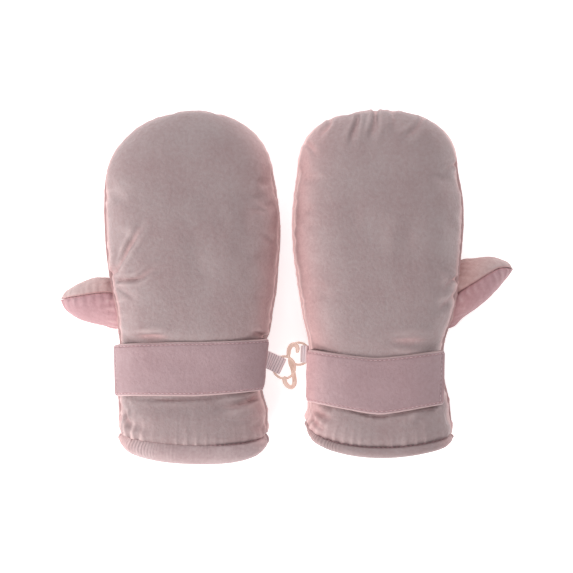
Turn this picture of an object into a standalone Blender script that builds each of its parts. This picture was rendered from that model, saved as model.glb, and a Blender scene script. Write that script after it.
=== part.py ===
"""A pair of padded ski mittens for a small child, lying side by side on their palms.

Each mitten is a back panel and a palm panel that meet in a seam all round the hand, a thumb of two
halves set into that seam, a hem band round the open cuff, a wrist strap that is sewn into the inner
seam and closes over the back, and a ribbon tab with a plastic clip. The two clips hold the pair together.

Sizes are in millimetres; MM turns them into the scene's metres. X runs across the pair, Y from the
cuffs to the fingertips and Z up from the surface that the palms lie on.
"""

import math
from collections import namedtuple

import bmesh
import bpy
from mathutils import Vector

MM = 0.001

# The cloth
WALL = 4.0  # shell, wadding and lining together
THUMB_WALL = 2.8
SEAM_GAP = 0.3  # between any two pieces that are sewn together
BACK_SET_IN = 1.0  # how far the seam and the back lie inside the palm panel's widest line
SEAM_PINCH = 1.1  # how far the stitching draws the padding in at the seam
PINCH_REACH = 0.16  # share of the section's height over which that pinch fades
ROUNDING_ALLOWANCE = 1.2  # what the pinch and the rounded sides take off the width seen from above
BACK_SQUARENESS = 2.7  # 2 is an ellipse, more is flatter on top and steeper at the sides
PALM_SQUARENESS = 2.2
PALM_SAG = 4.0  # how far the palm would hang below the surface if nothing held it up
PALM_LEAN = 0.45  # the palm's edge at the cuff bows by this share of the back's
TIP_FULLNESS = 0.62  # 1 gives the fingertips an elliptical side view, less a blunter one
FOLD_FADE = 0.65  # share of its depth that a fold has lost at its far end
FOLD_WRAP = 2.5  # how quickly the folds die away below the seam, more is sooner
SLACK_ROUNDING = 0.3  # rounds the change from the plain side of the hem to its slacker thumb side
THUMB_HOLE_DEPTH = 3.0  # how far its hole reaches past the thumb's root
THUMB_REACH = 20.0  # along Y, over which the seam rises to the thumb and falls again

# The strap
STRAP_THICK = 2.0
STRAP_ROOT = 4.0  # degrees above the inner seam
STRAP_BOW_ROUNDING = 0.14  # rounds the point of the V that the edges bow into

# The hem band
HEM_GATHERS = 36
HEM_GATHER_DEPTH = 0.45
HEM_GATHER_FADE = 12.0  # degrees

# The ribbon tabs and the clips
TAB_WIDTH = 7.8
TAB_THICK = 1.0
TAB_FOLD = 1.4  # radius of the fold that holds the ring, to the middle of the ribbon
TAB_TWIST = 4.0  # how far from its root a tab lies square to its heading
RING_RADIUS = 5.1  # to the middle of the wire
RING_WIRE = 1.2
HOOK_WIRE = 2.2

# How finely each piece is divided
SECTION_STEPS, TIP_ROWS = 2, 10
BACK_COLUMNS, PALM_COLUMNS = 20, 12
THUMB_STEPS, THUMB_COLUMNS, THUMB_HOLE_SIDES = 2, 8, 20
STRAP_ROWS, STRAP_COLUMNS = 2, 26
HOOK_STEPS = 2
RING_SEGMENTS, RING_SIDES = 36, 8
MERGE_DISTANCE = 1e-7  # metres
SHARP_ANGLE = 40.0  # degrees
SLOPE_STEP = 0.5  # both along Y and in degrees round, to find which way the surface faces
SLOPE_LEAST = 1e-5  # below this the surface has shrunk to the fingertip's point
SURFACE_TRIES = 6

Section = namedtuple("Section", "y left right crown seam bow tilt")
FingerEnd = namedtuple("FingerEnd", "x y squareness seam")
ThumbSection = namedtuple("ThumbSection", "finger_x finger_y wrist_x wrist_y thick middle seam")
Fold = namedtuple("Fold", "x0 y0 x1 y1 width depth")
Strap = namedtuple("Strap", "low high")
StrapEdge = namedtuple("StrapEdge", "end_angle end_y seam_y bow lift")
Hem = namedtuple("Hem", "side_depth crown_depth bulge first last slack")
HemPoint = namedtuple("HemPoint", "down inset outer")
Tab = namedtuple("Tab", "x y heading root_slant upper fold lower")
Clip = namedtuple("Clip", "x y z tilt hook")
HookPoint = namedtuple("HookPoint", "x y z thick")
Finish = namedtuple("Finish", "name red green blue roughness")
Mitten = namedtuple(
    "Mitten",
    "side thumb_sign sections finger_end thumb_seam thumb folds strap hem tab clip",
)

SHELL = Finish("padded_shell_cloth", 0.47, 0.345, 0.35, 0.55)
STRAP_CLOTH = Finish("strap_cloth", 0.49, 0.33, 0.35, 0.55)
RIBBON = Finish("ribbed_ribbon", 0.68, 0.58, 0.62, 0.70)
PLASTIC = Finish("clear_peach_plastic", 0.88, 0.70, 0.60, 0.25)

# A Section is the hand's width, height and seam height at one place between the hem and the finger end.
# Its bow is how far its crown leans towards the cuff, and its tilt how far its right side does.
# A ThumbSection has the thumb's edge towards the fingers and its edge towards the wrist, its thickness,
# the height of its middle, and where its top seam lies: 1 at the finger edge, 0 midway.
# A Tab's heading and root_slant are in degrees. upper and lower are places along its two layers, as
# distances out from its root and heights, and fold is the middle of the turn that joins them.
LEFT_MITTEN = Mitten(
    side="left",
    thumb_sign=-1,
    sections=(
        Section(-66.5, -76.3, -8.9, 33.0, 14.0, 7.0, 0.0),
        Section(-56.0, -77.0, -8.9, 34.5, 14.0, 5.2, 0.0),
        Section(-50.4, -77.2, -10.5, 33.0, 14.0, 4.0, 0.0),
        Section(-43.0, -76.0, -12.1, 31.5, 14.2, 2.6, 0.0),
        Section(-33.8, -76.3, -11.9, 31.5, 14.5, 1.2, 0.0),
        Section(-26.9, -76.5, -10.5, 33.5, 15.0, 0.6, 0.0),
        Section(-21.4, -77.0, -8.0, 38.0, 15.6, 0.2, 0.0),
        Section(-11.7, -77.9, -6.3, 40.5, 16.8, 0.0, 0.0),
        Section(-1.6, -79.9, -4.7, 41.5, 17.5, 0.0, 0.0),
        Section(10.3, -82.0, -3.6, 42.0, 17.5, 0.0, 0.0),
        Section(21.4, -83.2, -2.9, 41.5, 17.5, 0.0, 0.0),
        Section(32.4, -83.6, -3.1, 40.5, 17.5, 0.0, 0.0),
        Section(43.5, -83.6, -4.7, 38.5, 17.5, 0.0, 0.0),
    ),
    finger_end=FingerEnd(-42.5, 79.7, 2.05, 15.0),
    thumb_seam=24.5,
    thumb=(
        ThumbSection(-74.0, 1.0, -73.0, -19.0, 19.0, 12.2, 0.5),
        ThumbSection(-80.2, 3.2, -77.9, -19.2, 20.5, 12.0, 0.46),
        ThumbSection(-84.4, 4.0, -83.0, -18.1, 20.0, 11.8, 0.4),
        ThumbSection(-89.4, 3.6, -89.4, -16.6, 18.5, 11.4, 0.33),
        ThumbSection(-94.9, 1.6, -95.4, -14.8, 16.0, 11.0, 0.3),
        ThumbSection(-99.1, -0.7, -99.5, -12.2, 12.5, 10.6, 0.3),
        ThumbSection(-101.8, -3.0, -101.8, -9.7, 7.5, 10.3, 0.3),
        ThumbSection(-103.4, -6.1, -103.4, -6.1, 0.0, 10.2, 0.3),
    ),
    folds=(
        Fold(-79.0, 6.5, -57.0, 38.0, 2.6, 1.5),
        Fold(-79.5, 3.5, -50.0, 10.5, 2.4, 1.3),
        Fold(-63.0, -23.0, -50.0, -24.5, 3.0, 1.6),
        Fold(-16.0, -52.0, -36.0, -55.0, 2.6, 1.2),
    ),
    strap=Strap(
        low=StrapEdge(162.0, -50.4, -47.3, 1.5, 1.2),
        high=StrapEdge(172.5, -26.6, -23.5, 0.0, 1.3),
    ),
    hem=Hem(4.6, 7.8, 1.2, 95.0, 265.0, 0.27),
    tab=Tab(
        x=-10.6,
        y=-32.8,
        heading=-25.3,
        root_slant=7.3,
        upper=((0.0, 14.0), (1.3, 13.6), (2.9, 12.4), (4.6, 11.0), (6.4, 10.5)),
        fold=(8.1, 8.8),
        lower=((6.4, 7.66), (4.8, 7.9), (3.8, 8.6), (2.7, 10.2), (1.3, 11.9), (0.0, 12.7)),
    ),
    clip=Clip(
        x=-1.1,
        y=-37.3,
        z=8.4,
        tilt=10.0,
        hook=(
            HookPoint(0.8, -32.6, 8.1, 0.75),
            HookPoint(0.95, -31.0, 8.9, 0.9),
            HookPoint(1.2, -29.1, 9.4, 1.0),
            HookPoint(2.0, -27.4, 9.5, 1.0),
            HookPoint(3.5, -26.7, 9.2, 1.0),
            HookPoint(4.8, -27.7, 8.4, 1.0),
            HookPoint(5.1, -29.2, 7.2, 0.9),
            HookPoint(4.8, -30.5, 5.8, 0.7),
        ),
    ),
)
RIGHT_MITTEN = Mitten(
    side="right",
    thumb_sign=1,
    sections=(
        Section(-63.7, 9.3, 76.2, 33.0, 14.0, 11.5, 3.2),
        Section(-56.0, 10.2, 75.5, 34.0, 14.0, 8.6, 1.8),
        Section(-50.4, 9.8, 74.6, 33.0, 14.0, 6.6, 1.0),
        Section(-43.0, 9.7, 72.8, 32.0, 14.2, 4.8, 0.6),
        Section(-34.7, 10.0, 72.1, 32.0, 14.5, 3.4, 0.3),
        Section(-28.3, 10.4, 72.1, 34.0, 14.9, 2.4, 0.0),
        Section(-22.8, 9.6, 73.2, 38.0, 15.4, 1.4, 0.0),
        Section(-14.5, 7.7, 76.0, 40.0, 16.5, 0.5, 0.0),
        Section(-6.2, 6.3, 77.8, 41.0, 17.5, 0.0, 0.0),
        Section(4.8, 4.7, 79.2, 42.0, 17.5, 0.0, 0.0),
        Section(16.8, 3.1, 80.4, 42.0, 17.5, 0.0, 0.0),
        Section(29.7, 2.6, 81.3, 41.0, 17.5, 0.0, 0.0),
        Section(39.8, 3.3, 81.0, 40.0, 17.5, 0.0, 0.0),
        Section(49.0, 4.5, 79.4, 38.5, 17.5, 0.0, 0.0),
    ),
    finger_end=FingerEnd(42.6, 79.8, 2.4, 15.0),
    thumb_seam=24.5,
    thumb=(
        ThumbSection(71.0, 9.5, 67.0, -18.5, 19.0, 12.2, 0.0),
        ThumbSection(80.3, 12.1, 75.3, -19.1, 21.0, 12.0, 0.02),
        ThumbSection(85.0, 12.8, 80.8, -14.6, 20.5, 11.8, 0.05),
        ThumbSection(90.0, 13.5, 86.3, -10.7, 19.5, 11.5, 0.14),
        ThumbSection(94.6, 13.6, 92.1, -6.2, 17.5, 11.2, 0.28),
        ThumbSection(98.3, 12.6, 96.9, -1.2, 14.5, 10.9, 0.42),
        ThumbSection(101.5, 10.9, 101.1, 4.1, 9.0, 10.6, 0.42),
        ThumbSection(103.7, 8.0, 103.7, 8.0, 0.0, 10.4, 0.42),
    ),
    folds=(
        Fold(17.0, 73.5, 21.5, 66.0, 1.8, 1.5),
        Fold(27.5, 79.0, 29.5, 68.5, 1.8, 1.5),
        Fold(35.0, 81.0, 35.5, 66.0, 2.4, 1.2),
        Fold(54.5, 80.0, 52.0, 66.0, 2.2, 1.3),
        Fold(46.5, -23.0, 66.0, -22.0, 2.8, 1.4),
        Fold(72.0, -54.0, 50.0, -59.0, 2.6, 1.1),
    ),
    strap=Strap(
        low=StrapEdge(36.0, -53.2, -52.4, 6.6, 1.0),
        high=StrapEdge(24.5, -28.9, -28.6, 4.2, 1.1),
    ),
    hem=Hem(3.0, 3.9, 0.9, 100.0, 262.0, 0.5),
    tab=Tab(
        x=9.2,
        y=-31.1,
        heading=180.0,
        root_slant=3.0,
        upper=((0.0, 14.0), (1.3, 13.3), (1.8, 11.8), (1.6, 9.8), (1.0, 8.2), (0.5, 6.6)),
        fold=(0.9, 4.25),
        lower=(
            (-0.3, 2.6),
            (-1.8, 2.2),
            (-2.7, 2.9),
            (-2.8, 4.2),
            (-1.7, 5.8),
            (-0.7, 7.2),
            (-0.05, 8.8),
            (0.4, 10.5),
            (0.56, 11.8),
            (0.1, 12.7),
        ),
    ),
    clip=Clip(
        x=5.7,
        y=-31.0,
        z=5.0,
        tilt=16.0,
        hook=(
            HookPoint(1.4, -33.7, 6.2, 0.75),
            HookPoint(1.8, -35.4, 5.6, 0.95),
            HookPoint(2.8, -38.0, 5.0, 1.0),
            HookPoint(3.3, -40.6, 4.9, 1.0),
            HookPoint(3.7, -43.1, 5.1, 1.0),
            HookPoint(3.5, -45.2, 6.0, 1.0),
            HookPoint(2.3, -46.4, 7.3, 1.0),
            HookPoint(0.7, -45.9, 8.8, 1.0),
            HookPoint(-0.5, -44.4, 10.2, 1.0),
            HookPoint(-0.9, -42.8, 10.9, 1.0),
            HookPoint(-0.6, -41.3, 11.0, 0.8),
        ),
    ),
)


def power(value, exponent):
    """value raised to exponent, keeping its sign."""
    return math.copysign(abs(value) ** exponent, value)


def smooth(rows, steps):
    """The given rows and steps - 1 more between each two, on a smooth curve through them all."""
    last = len(rows) - 1
    curve = []
    for i in range(last):
        near = [rows[min(max(i + k, 0), last)] for k in (-1, 0, 1, 2)]
        for step in range(steps):
            t = step / steps
            values = [
                b + 0.5 * ((c - a) * t + (2 * a - 5 * b + 4 * c - d) * t**2 + (3 * b - a - 3 * c + d) * t**3)
                for a, b, c, d in zip(*near)
            ]
            curve.append(type(rows[0])(*values))
    curve.append(rows[-1])
    return curve


def section_at(sections, y):
    """The hand's section at y, on a smooth curve through the given ones."""
    last = len(sections) - 1
    i = next((k for k in range(last) if y < sections[k + 1].y), last - 1)
    near = [sections[min(max(i + k, 0), last)] for k in (-1, 0, 1, 2)]
    span = near[2].y - near[1].y
    t = min(max((y - near[1].y) / span, 0.0), 1.0)
    values = []
    for before, start, end, after in zip(*near):
        slope_start = (end - before) / max(near[2].y - near[0].y, span) * span
        slope_end = (after - start) / max(near[3].y - near[1].y, span) * span
        values.append(
            (2 * t**3 - 3 * t**2 + 1) * start
            + (t**3 - 2 * t**2 + t) * slope_start
            + (3 * t**2 - 2 * t**3) * end
            + (t**3 - t**2) * slope_end
        )
    return Section(*values)._replace(y=y)


def finger_length(mitten):
    return mitten.finger_end.y - mitten.sections[-1].y


def rounded_section(mitten, y, inset):
    """(section, share of its height left) at y, inside a wall of the given inset."""
    start = mitten.sections[-1]
    if y <= start.y:
        return section_at(mitten.sections, y), 1.0
    end, before = mitten.finger_end, mitten.sections[-2]
    along = min((y - start.y) / (finger_length(mitten) - inset), 1.0)
    share = (1 - along**end.squareness) ** (1 / end.squareness)
    run_out = finger_length(mitten) * along * (1 - along) ** 2 / (start.y - before.y)
    left, right, crown = (now + (now - was) * run_out for was, now in zip(before[1:4], start[1:4]))
    start_middle = (left + right) / 2
    middle = start_middle + (end.x - start_middle) * along**2
    half = ((right - left) / 2 - inset) * share + inset
    seam = start.seam + (end.seam - start.seam) * along
    return Section(y, middle - half, middle + half, crown, seam, 0.0, 0.0), share**TIP_FULLNESS


def hand_point(mitten, y, angle, inset=0.0):
    """A point of the hand's surface, moved in by inset.

    angle is in degrees round the section: 0 the right seam, 90 the crown, 180 the left seam, 270 the palm.
    """
    row, fullness = rounded_section(mitten, y, inset)
    cosine, sine = math.cos(math.radians(angle)), math.sin(math.radians(angle))
    squareness = BACK_SQUARENESS if sine >= 0 else PALM_SQUARENESS
    across, up = power(cosine, 2 / squareness), power(sine, 2 / squareness)
    half = (row.right - row.left) / 2 - inset
    firm = min(1.0, half / WALL)
    half += (ROUNDING_ALLOWANCE - SEAM_PINCH * math.exp(-abs(up) / PINCH_REACH)) * firm
    if sine >= 0:
        half -= BACK_SET_IN * firm
    thumb_middle = (mitten.thumb[1].finger_y + mitten.thumb[1].wrist_y) / 2
    near_thumb = math.exp(-(((y - thumb_middle) / THUMB_REACH) ** 2)) * max(across * mitten.thumb_sign, 0.0)
    seam = row.seam + (mitten.thumb_seam - row.seam) * near_thumb
    x = (row.left + row.right) / 2 + half * across
    thumb_side = (across * mitten.thumb_sign + math.hypot(across, SLACK_ROUNDING)) / 2
    lean = row.bow * up * (1 - mitten.hem.slack * thumb_side)
    if sine >= 0:
        z = seam + (row.crown - inset - seam) * fullness * up
    else:
        z = seam + (seam + PALM_SAG - inset) * fullness * up
        lean *= -PALM_LEAN
    return Vector((x, y - lean - row.tilt * across, z))


def outward(mitten, y, angle):
    """The direction straight out of the hand's surface, or along Y at the very tip."""
    along = hand_point(mitten, y, angle) - hand_point(mitten, y - SLOPE_STEP, angle)
    around = hand_point(mitten, y, angle + SLOPE_STEP) - hand_point(mitten, y, angle - SLOPE_STEP)
    normal = along.cross(around)
    return -normal.normalized() if normal.length > SLOPE_LEAST else Vector((0, 1, 0))


def fold_depth(folds, point):
    """How deep the folds press the shell in at a point, seen from above."""
    depth = 0.0
    for fold in folds:
        start, end = Vector((fold.x0, fold.y0)), Vector((fold.x1, fold.y1))
        run = end - start
        along = min(max((point.xy - start).dot(run) / run.length_squared, 0.0), 1.0)
        away = (point.xy - start - run * along).length
        depth += fold.depth * (1.0 - FOLD_FADE * along) * math.exp(-((away / fold.width) ** 2))
    return depth


def skin(mitten, steps, tip_rows, columns, start_angle, inset):
    """A grid of points over half the hand: a line of them for each place along it, closer at the tip."""
    last = mitten.sections[-1].y
    places = [
        low.y + (high.y - low.y) * step / steps
        for low, high in zip(mitten.sections, mitten.sections[1:])
        for step in range(steps)
    ]
    rounding = finger_length(mitten) - inset
    places += [last + rounding * math.sin(math.pi / 2 * i / tip_rows) for i in range(tip_rows + 1)]
    shift = SEAM_GAP / 2 if start_angle < 180 else -SEAM_GAP / 2
    grid = []
    for y in places:
        line = []
        for j in range(columns + 1):
            angle = start_angle + 180 * j / columns
            point = hand_point(mitten, y, angle, inset)
            if inset == 0:
                shown = min(max(1 + FOLD_WRAP * math.sin(math.radians(angle)), 0.0), 1.0)
                point -= outward(mitten, y, angle) * fold_depth(mitten.folds, point) * shown
            point.z = max(point.z + shift, inset)
            line.append(point)
        grid.append(line)
    return grid


def rim(mesh, fine, coarse):
    """Faces between two edges of a wall, where fine has as many steps as coarse or twice as many."""
    ratio = (len(fine) - 1) // (len(coarse) - 1)
    for k in range(len(coarse) - 1):
        run = fine[ratio * k : ratio * k + ratio + 1]
        middle = run[len(run) // 2]
        if ratio == 2:
            mesh.faces.new((run[0], middle, coarse[k]))
            mesh.faces.new((middle, run[2], coarse[k + 1]))
            mesh.faces.new((middle, coarse[k + 1], coarse[k]))
        else:
            mesh.faces.new((run[0], run[1], coarse[k + 1], coarse[k]))


def wall(name, outer, inner, finish, closed_end):
    """A closed wall between a grid of outer points and a grid of inner ones."""
    mesh = bmesh.new()
    out, inn = ([[mesh.verts.new(p * MM) for p in line] for line in grid] for grid in (outer, inner))
    for grid in (out, inn):
        for low, high in zip(grid, grid[1:]):
            for j in range(len(low) - 1):
                mesh.faces.new((low[j], low[j + 1], high[j + 1], high[j]))
    for side in (0, -1):
        rim(mesh, [line[side] for line in out], [line[side] for line in inn])
    rim(mesh, out[0], inn[0])
    if not closed_end:
        rim(mesh, out[-1], inn[-1])
    return finished(name, mesh, finish)


def finished(name, mesh, finish, collection=None):
    """The object of a bmesh, with its doubles merged, its faces pointing out and its material on."""
    bmesh.ops.remove_doubles(mesh, verts=mesh.verts, dist=MERGE_DISTANCE)
    bmesh.ops.dissolve_degenerate(mesh, edges=mesh.edges, dist=MERGE_DISTANCE)
    bmesh.ops.recalc_face_normals(mesh, faces=mesh.faces)
    data = bpy.data.meshes.new(name)
    mesh.to_mesh(data)
    mesh.free()
    data.shade_smooth()
    data.set_sharp_from_angle(angle=math.radians(SHARP_ANGLE))
    data.materials.append(material(finish))
    obj = bpy.data.objects.new(name, data)
    (collection or PARTS).objects.link(obj)
    return obj


def material(finish):
    found = bpy.data.materials.get(finish.name)
    if found is None:
        found = bpy.data.materials.new(finish.name)
        found.use_nodes = True
        shader = found.node_tree.nodes["Principled BSDF"]
        shader.inputs["Base Color"].default_value = (finish.red, finish.green, finish.blue, 1)
        shader.inputs["Roughness"].default_value = finish.roughness
        shader.inputs["Metallic"].default_value = 0.0
    return found


def hide_cutter(obj):
    obj.hide_render = True
    obj.display_type = "WIRE"


def combine(obj, other, operation):
    modifier = obj.modifiers.new(operation.lower(), "BOOLEAN")
    modifier.operation = operation
    modifier.object = other


def make_back(mitten):
    outer = skin(mitten, SECTION_STEPS, TIP_ROWS, BACK_COLUMNS, 0, 0.0)
    inner = skin(mitten, SECTION_STEPS // 2, TIP_ROWS // 2, BACK_COLUMNS // 2, 0, WALL)
    return wall(f"back_{mitten.side}", outer, inner, SHELL, True)


def make_palm(mitten):
    outer = skin(mitten, SECTION_STEPS, TIP_ROWS, PALM_COLUMNS, 180, 0.0)
    inner = skin(mitten, SECTION_STEPS // 2, TIP_ROWS // 2, PALM_COLUMNS // 2, 180, WALL)
    return wall(f"palm_{mitten.side}", outer, inner, SHELL, True)


def thumb_point(row, angle, inset):
    """A point of the thumb's surface. Angle 0 is its edge towards the fingers and 90 its top."""
    finger, wrist = Vector((row.finger_x, row.finger_y, 0)), Vector((row.wrist_x, row.wrist_y, 0))
    half = (finger - wrist) / 2
    reach = half.normalized() * max(half.length - inset, 0.0)
    point = (finger + wrist) / 2 + reach * math.cos(math.radians(angle))
    point.z = row.middle + max(row.thick / 2 - inset, 0.0) * math.sin(math.radians(angle))
    return point


def thumb_half(rows, finger_side, columns, inset):
    """Points over one half of the thumb. Its inner wall is drawn back from the tip."""
    root, tip = rows[0], rows[-1]
    back = Vector((root.finger_x - tip.finger_x, root.finger_y - tip.finger_y, 0)).normalized()
    shift = Vector((0, SEAM_GAP / 2 if finger_side else -SEAM_GAP / 2, 0))
    grid = []
    for i, row in enumerate(rows):
        top_seam = math.degrees(math.acos(row.seam))
        start, end = (-top_seam, top_seam) if finger_side else (top_seam, 360 - top_seam)
        drawn_back = back * inset * (i / (len(rows) - 1)) ** 2
        line = [thumb_point(row, start + (end - start) * j / columns, inset) for j in range(columns + 1)]
        grid.append([point + shift + drawn_back for point in line])
    return grid


def make_thumb(mitten):
    """The two halves of the thumb, parted along its top and its underside."""
    rows = smooth(mitten.thumb, THUMB_STEPS)
    for finger_side, name in ((True, "thumb_finger_half"), (False, "thumb_wrist_half")):
        outer = thumb_half(rows, finger_side, THUMB_COLUMNS, 0.0)
        inner = thumb_half(rows[::THUMB_STEPS], finger_side, THUMB_COLUMNS // 2, THUMB_WALL)
        wall(f"{name}_{mitten.side}", outer, inner, SHELL, True)


def thumb_hole(mitten):
    """The thumb's whole form, larger by a seam's gap, to cut its hole in the hand."""
    rows = smooth(mitten.thumb, THUMB_STEPS)[:-1]
    deeper = -THUMB_HOLE_DEPTH * mitten.thumb_sign
    root = rows[0]._replace(finger_x=rows[0].finger_x + deeper, wrist_x=rows[0].wrist_x + deeper)
    mesh = bmesh.new()
    rings = [
        [
            mesh.verts.new(thumb_point(row, 360 * j / THUMB_HOLE_SIDES, -2 * SEAM_GAP) * MM)
            for j in range(THUMB_HOLE_SIDES)
        ]
        for row in [root, *rows]
    ]
    for low, high in zip(rings, rings[1:]):
        for j in range(THUMB_HOLE_SIDES):
            k = (j + 1) % THUMB_HOLE_SIDES
            mesh.faces.new((low[j], low[k], high[k], high[j]))
    mesh.faces.new(rings[0])
    mesh.faces.new(rings[-1])
    obj = finished(f"thumb_hole_{mitten.side}", mesh, SHELL, CUTTERS)
    hide_cutter(obj)
    return obj


# Round the hem band: how far down the band, as a share of its depth, and how far in from the surface.
HEM_PROFILE = (
    HemPoint(0.0, 0.5, 1),
    HemPoint(0.28, -0.9, 1),
    HemPoint(0.72, -0.9, 1),
    HemPoint(0.98, 0.8, 1),
    HemPoint(1.0, 2.6, 0),
    HemPoint(0.72, 4.6, 0),
    HemPoint(0.0, 4.2, 0),
)


def make_hem(mitten):
    """The band round the open cuff: a rolled edge below the row of stitches that gathers the cuff."""
    hem, start = mitten.hem, mitten.sections[0]
    mesh = bmesh.new()
    rings = []
    for i in range(2 * HEM_GATHERS):
        angle = 360 * i / (2 * HEM_GATHERS)
        depth = hem.side_depth + (hem.crown_depth - hem.side_depth) * max(math.sin(math.radians(angle)), 0.0)
        inside = min((angle - hem.first) / HEM_GATHER_FADE, (hem.last - angle) / HEM_GATHER_FADE, 1)
        ripple = HEM_GATHER_DEPTH * max(inside, 0) * (-1) ** i
        ring = []
        for place in HEM_PROFILE:
            out = (hem.bulge * math.sin(math.pi * place.down) + ripple) * place.outer
            point = hand_point(mitten, start.y, angle, place.inset - out)
            point.y -= SEAM_GAP + depth * place.down
            point.z = max(point.z, 0.0 if place.outer else place.inset)
            ring.append(mesh.verts.new(point * MM))
        rings.append(ring)
    for i, ring in enumerate(rings):
        following = rings[(i + 1) % len(rings)]
        for j in range(len(ring)):
            k = (j + 1) % len(ring)
            mesh.faces.new((ring[j], ring[k], following[k], following[j]))
    return finished(f"hem_{mitten.side}", mesh, SHELL)


def surface_at(mitten, y, angle, inset):
    """The surface point at an angle that lies at Y y once its section's lean is counted."""
    place = y
    for _ in range(SURFACE_TRIES):
        place += y - hand_point(mitten, place, angle, inset).y
    return hand_point(mitten, place, angle, inset)


def strap_point(mitten, along, across, lift):
    """along runs from the free end to the inner seam, across from the lower edge to the upper one."""
    root_angle = STRAP_ROOT if mitten.thumb_sign < 0 else 180 - STRAP_ROOT
    points = []
    for edge in mitten.strap:
        angle = edge.end_angle + (root_angle - edge.end_angle) * along
        sideways = abs(math.cos(math.radians(angle))) ** (2 / BACK_SQUARENESS)
        dip = edge.bow * (1 - math.hypot(sideways, STRAP_BOW_ROUNDING))
        y = edge.end_y + (edge.seam_y - edge.end_y) * along - dip
        points.append(surface_at(mitten, y, angle, -(SEAM_GAP + edge.lift + lift)))
    return points[0].lerp(points[1], across)


def make_strap(mitten):
    outer, inner = (
        [
            [strap_point(mitten, j / STRAP_COLUMNS, i / STRAP_ROWS, lift) for j in range(STRAP_COLUMNS + 1)]
            for i in range(STRAP_ROWS + 1)
        ]
        for lift in (STRAP_THICK, 0.0)
    )
    return wall(f"strap_{mitten.side}", outer, inner, STRAP_CLOTH, False)


def make_tab(mitten):
    """A ribbon folded in two round the clip's ring, with both ends in the seam."""
    tab = mitten.tab
    out, up = tab.fold
    turn = [math.radians(angle) for angle in (90, 45, 0, -45, -90)]
    folded = [(out + TAB_FOLD * math.cos(angle), up + TAB_FOLD * math.sin(angle)) for angle in turn]
    path = [*tab.upper, *folded, *tab.lower]
    heading = Vector((math.cos(math.radians(tab.heading)), math.sin(math.radians(tab.heading)), 0))
    square = Vector((-heading.y, heading.x, 0))
    if square.y < 0:
        square.negate()
    root_edge = Vector((math.sin(math.radians(tab.root_slant)), math.cos(math.radians(tab.root_slant)), 0))
    mesh = bmesh.new()
    rings = []
    for i, (out, up) in enumerate(path):
        before, after = path[max(i - 1, 0)], path[min(i + 1, len(path) - 1)]
        slope = Vector((after[0] - before[0], after[1] - before[1])).normalized()
        normal = Vector((0, 0, 1)) * slope.x - heading * slope.y
        edge = root_edge.lerp(square, min(max(out / TAB_TWIST, 0.0), 1.0)).normalized()
        middle = Vector((tab.x, tab.y, up)) + heading * out
        corners = ((1, 1), (-1, 1), (-1, -1), (1, -1))
        points = [middle + edge * a * TAB_WIDTH / 2 + normal * b * TAB_THICK / 2 for a, b in corners]
        rings.append([mesh.verts.new(point * MM) for point in points])
    for low, high in zip(rings, rings[1:]):
        for j in range(4):
            k = (j + 1) % 4
            mesh.faces.new((low[j], low[k], high[k], high[j]))
    mesh.faces.new(rings[0])
    mesh.faces.new(rings[-1])
    return finished(f"tab_{mitten.side}", mesh, RIBBON)


def make_hook(name, points):
    """The hook's bent bar, as a mesh to be joined to its ring."""
    curve = bpy.data.curves.new(name, "CURVE")
    curve.dimensions = "3D"
    curve.bevel_depth = HOOK_WIRE / 2 * MM
    curve.bevel_resolution = 2
    curve.use_fill_caps = True
    route = smooth(points, HOOK_STEPS)
    spline = curve.splines.new("POLY")
    spline.points.add(len(route) - 1)
    for target, place in zip(spline.points, route):
        target.co = (place.x * MM, place.y * MM, place.z * MM, 1)
        target.radius = place.thick
    bar = bpy.data.objects.new(name, curve)
    CUTTERS.objects.link(bar)
    depsgraph = bpy.context.evaluated_depsgraph_get()
    mesh = bmesh.new()
    mesh.from_mesh(bpy.data.meshes.new_from_object(bar.evaluated_get(depsgraph)))
    bpy.data.objects.remove(bar)
    obj = finished(name, mesh, PLASTIC, CUTTERS)
    hide_cutter(obj)
    return obj


def make_clip(mitten):
    clip = mitten.clip
    bpy.ops.mesh.primitive_torus_add(
        major_radius=RING_RADIUS * MM,
        minor_radius=RING_WIRE / 2 * MM,
        major_segments=RING_SEGMENTS,
        minor_segments=RING_SIDES,
        location=(clip.x * MM, clip.y * MM, clip.z * MM),
        rotation=(0, math.radians(clip.tilt), 0),
    )
    ring = bpy.context.object
    ring.name = f"clip_{mitten.side}"
    for collection in list(ring.users_collection):
        collection.objects.unlink(ring)
    PARTS.objects.link(ring)
    ring.data.shade_smooth()
    ring.data.materials.append(material(PLASTIC))
    combine(ring, make_hook(f"hook_{mitten.side}", clip.hook), "UNION")
    return ring


def make_mitten(mitten):
    hole = thumb_hole(mitten)
    combine(make_back(mitten), hole, "DIFFERENCE")
    combine(make_palm(mitten), hole, "DIFFERENCE")
    make_thumb(mitten)
    make_hem(mitten)
    make_strap(mitten)
    make_tab(mitten)
    make_clip(mitten)


def new_collection(name):
    collection = bpy.data.collections.new(name)
    bpy.context.scene.collection.children.link(collection)
    return collection


for old in list(bpy.data.objects):
    bpy.data.objects.remove(old, do_unlink=True)
PARTS = new_collection("child ski mittens")
CUTTERS = new_collection("cutters")
for one in (LEFT_MITTEN, RIGHT_MITTEN):
    make_mitten(one)
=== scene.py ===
"""A pair of a child's padded ski mittens, lying on their palms and linked by their plastic clips.

Every size in the tables is in millimetres and MM turns it into metres. X runs across the pair, Y from
the cuffs to the fingertips and Z up from the table.
"""

import math
from collections import namedtuple

import bmesh
import bpy
import numpy as np
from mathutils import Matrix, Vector, kdtree, noise


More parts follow.
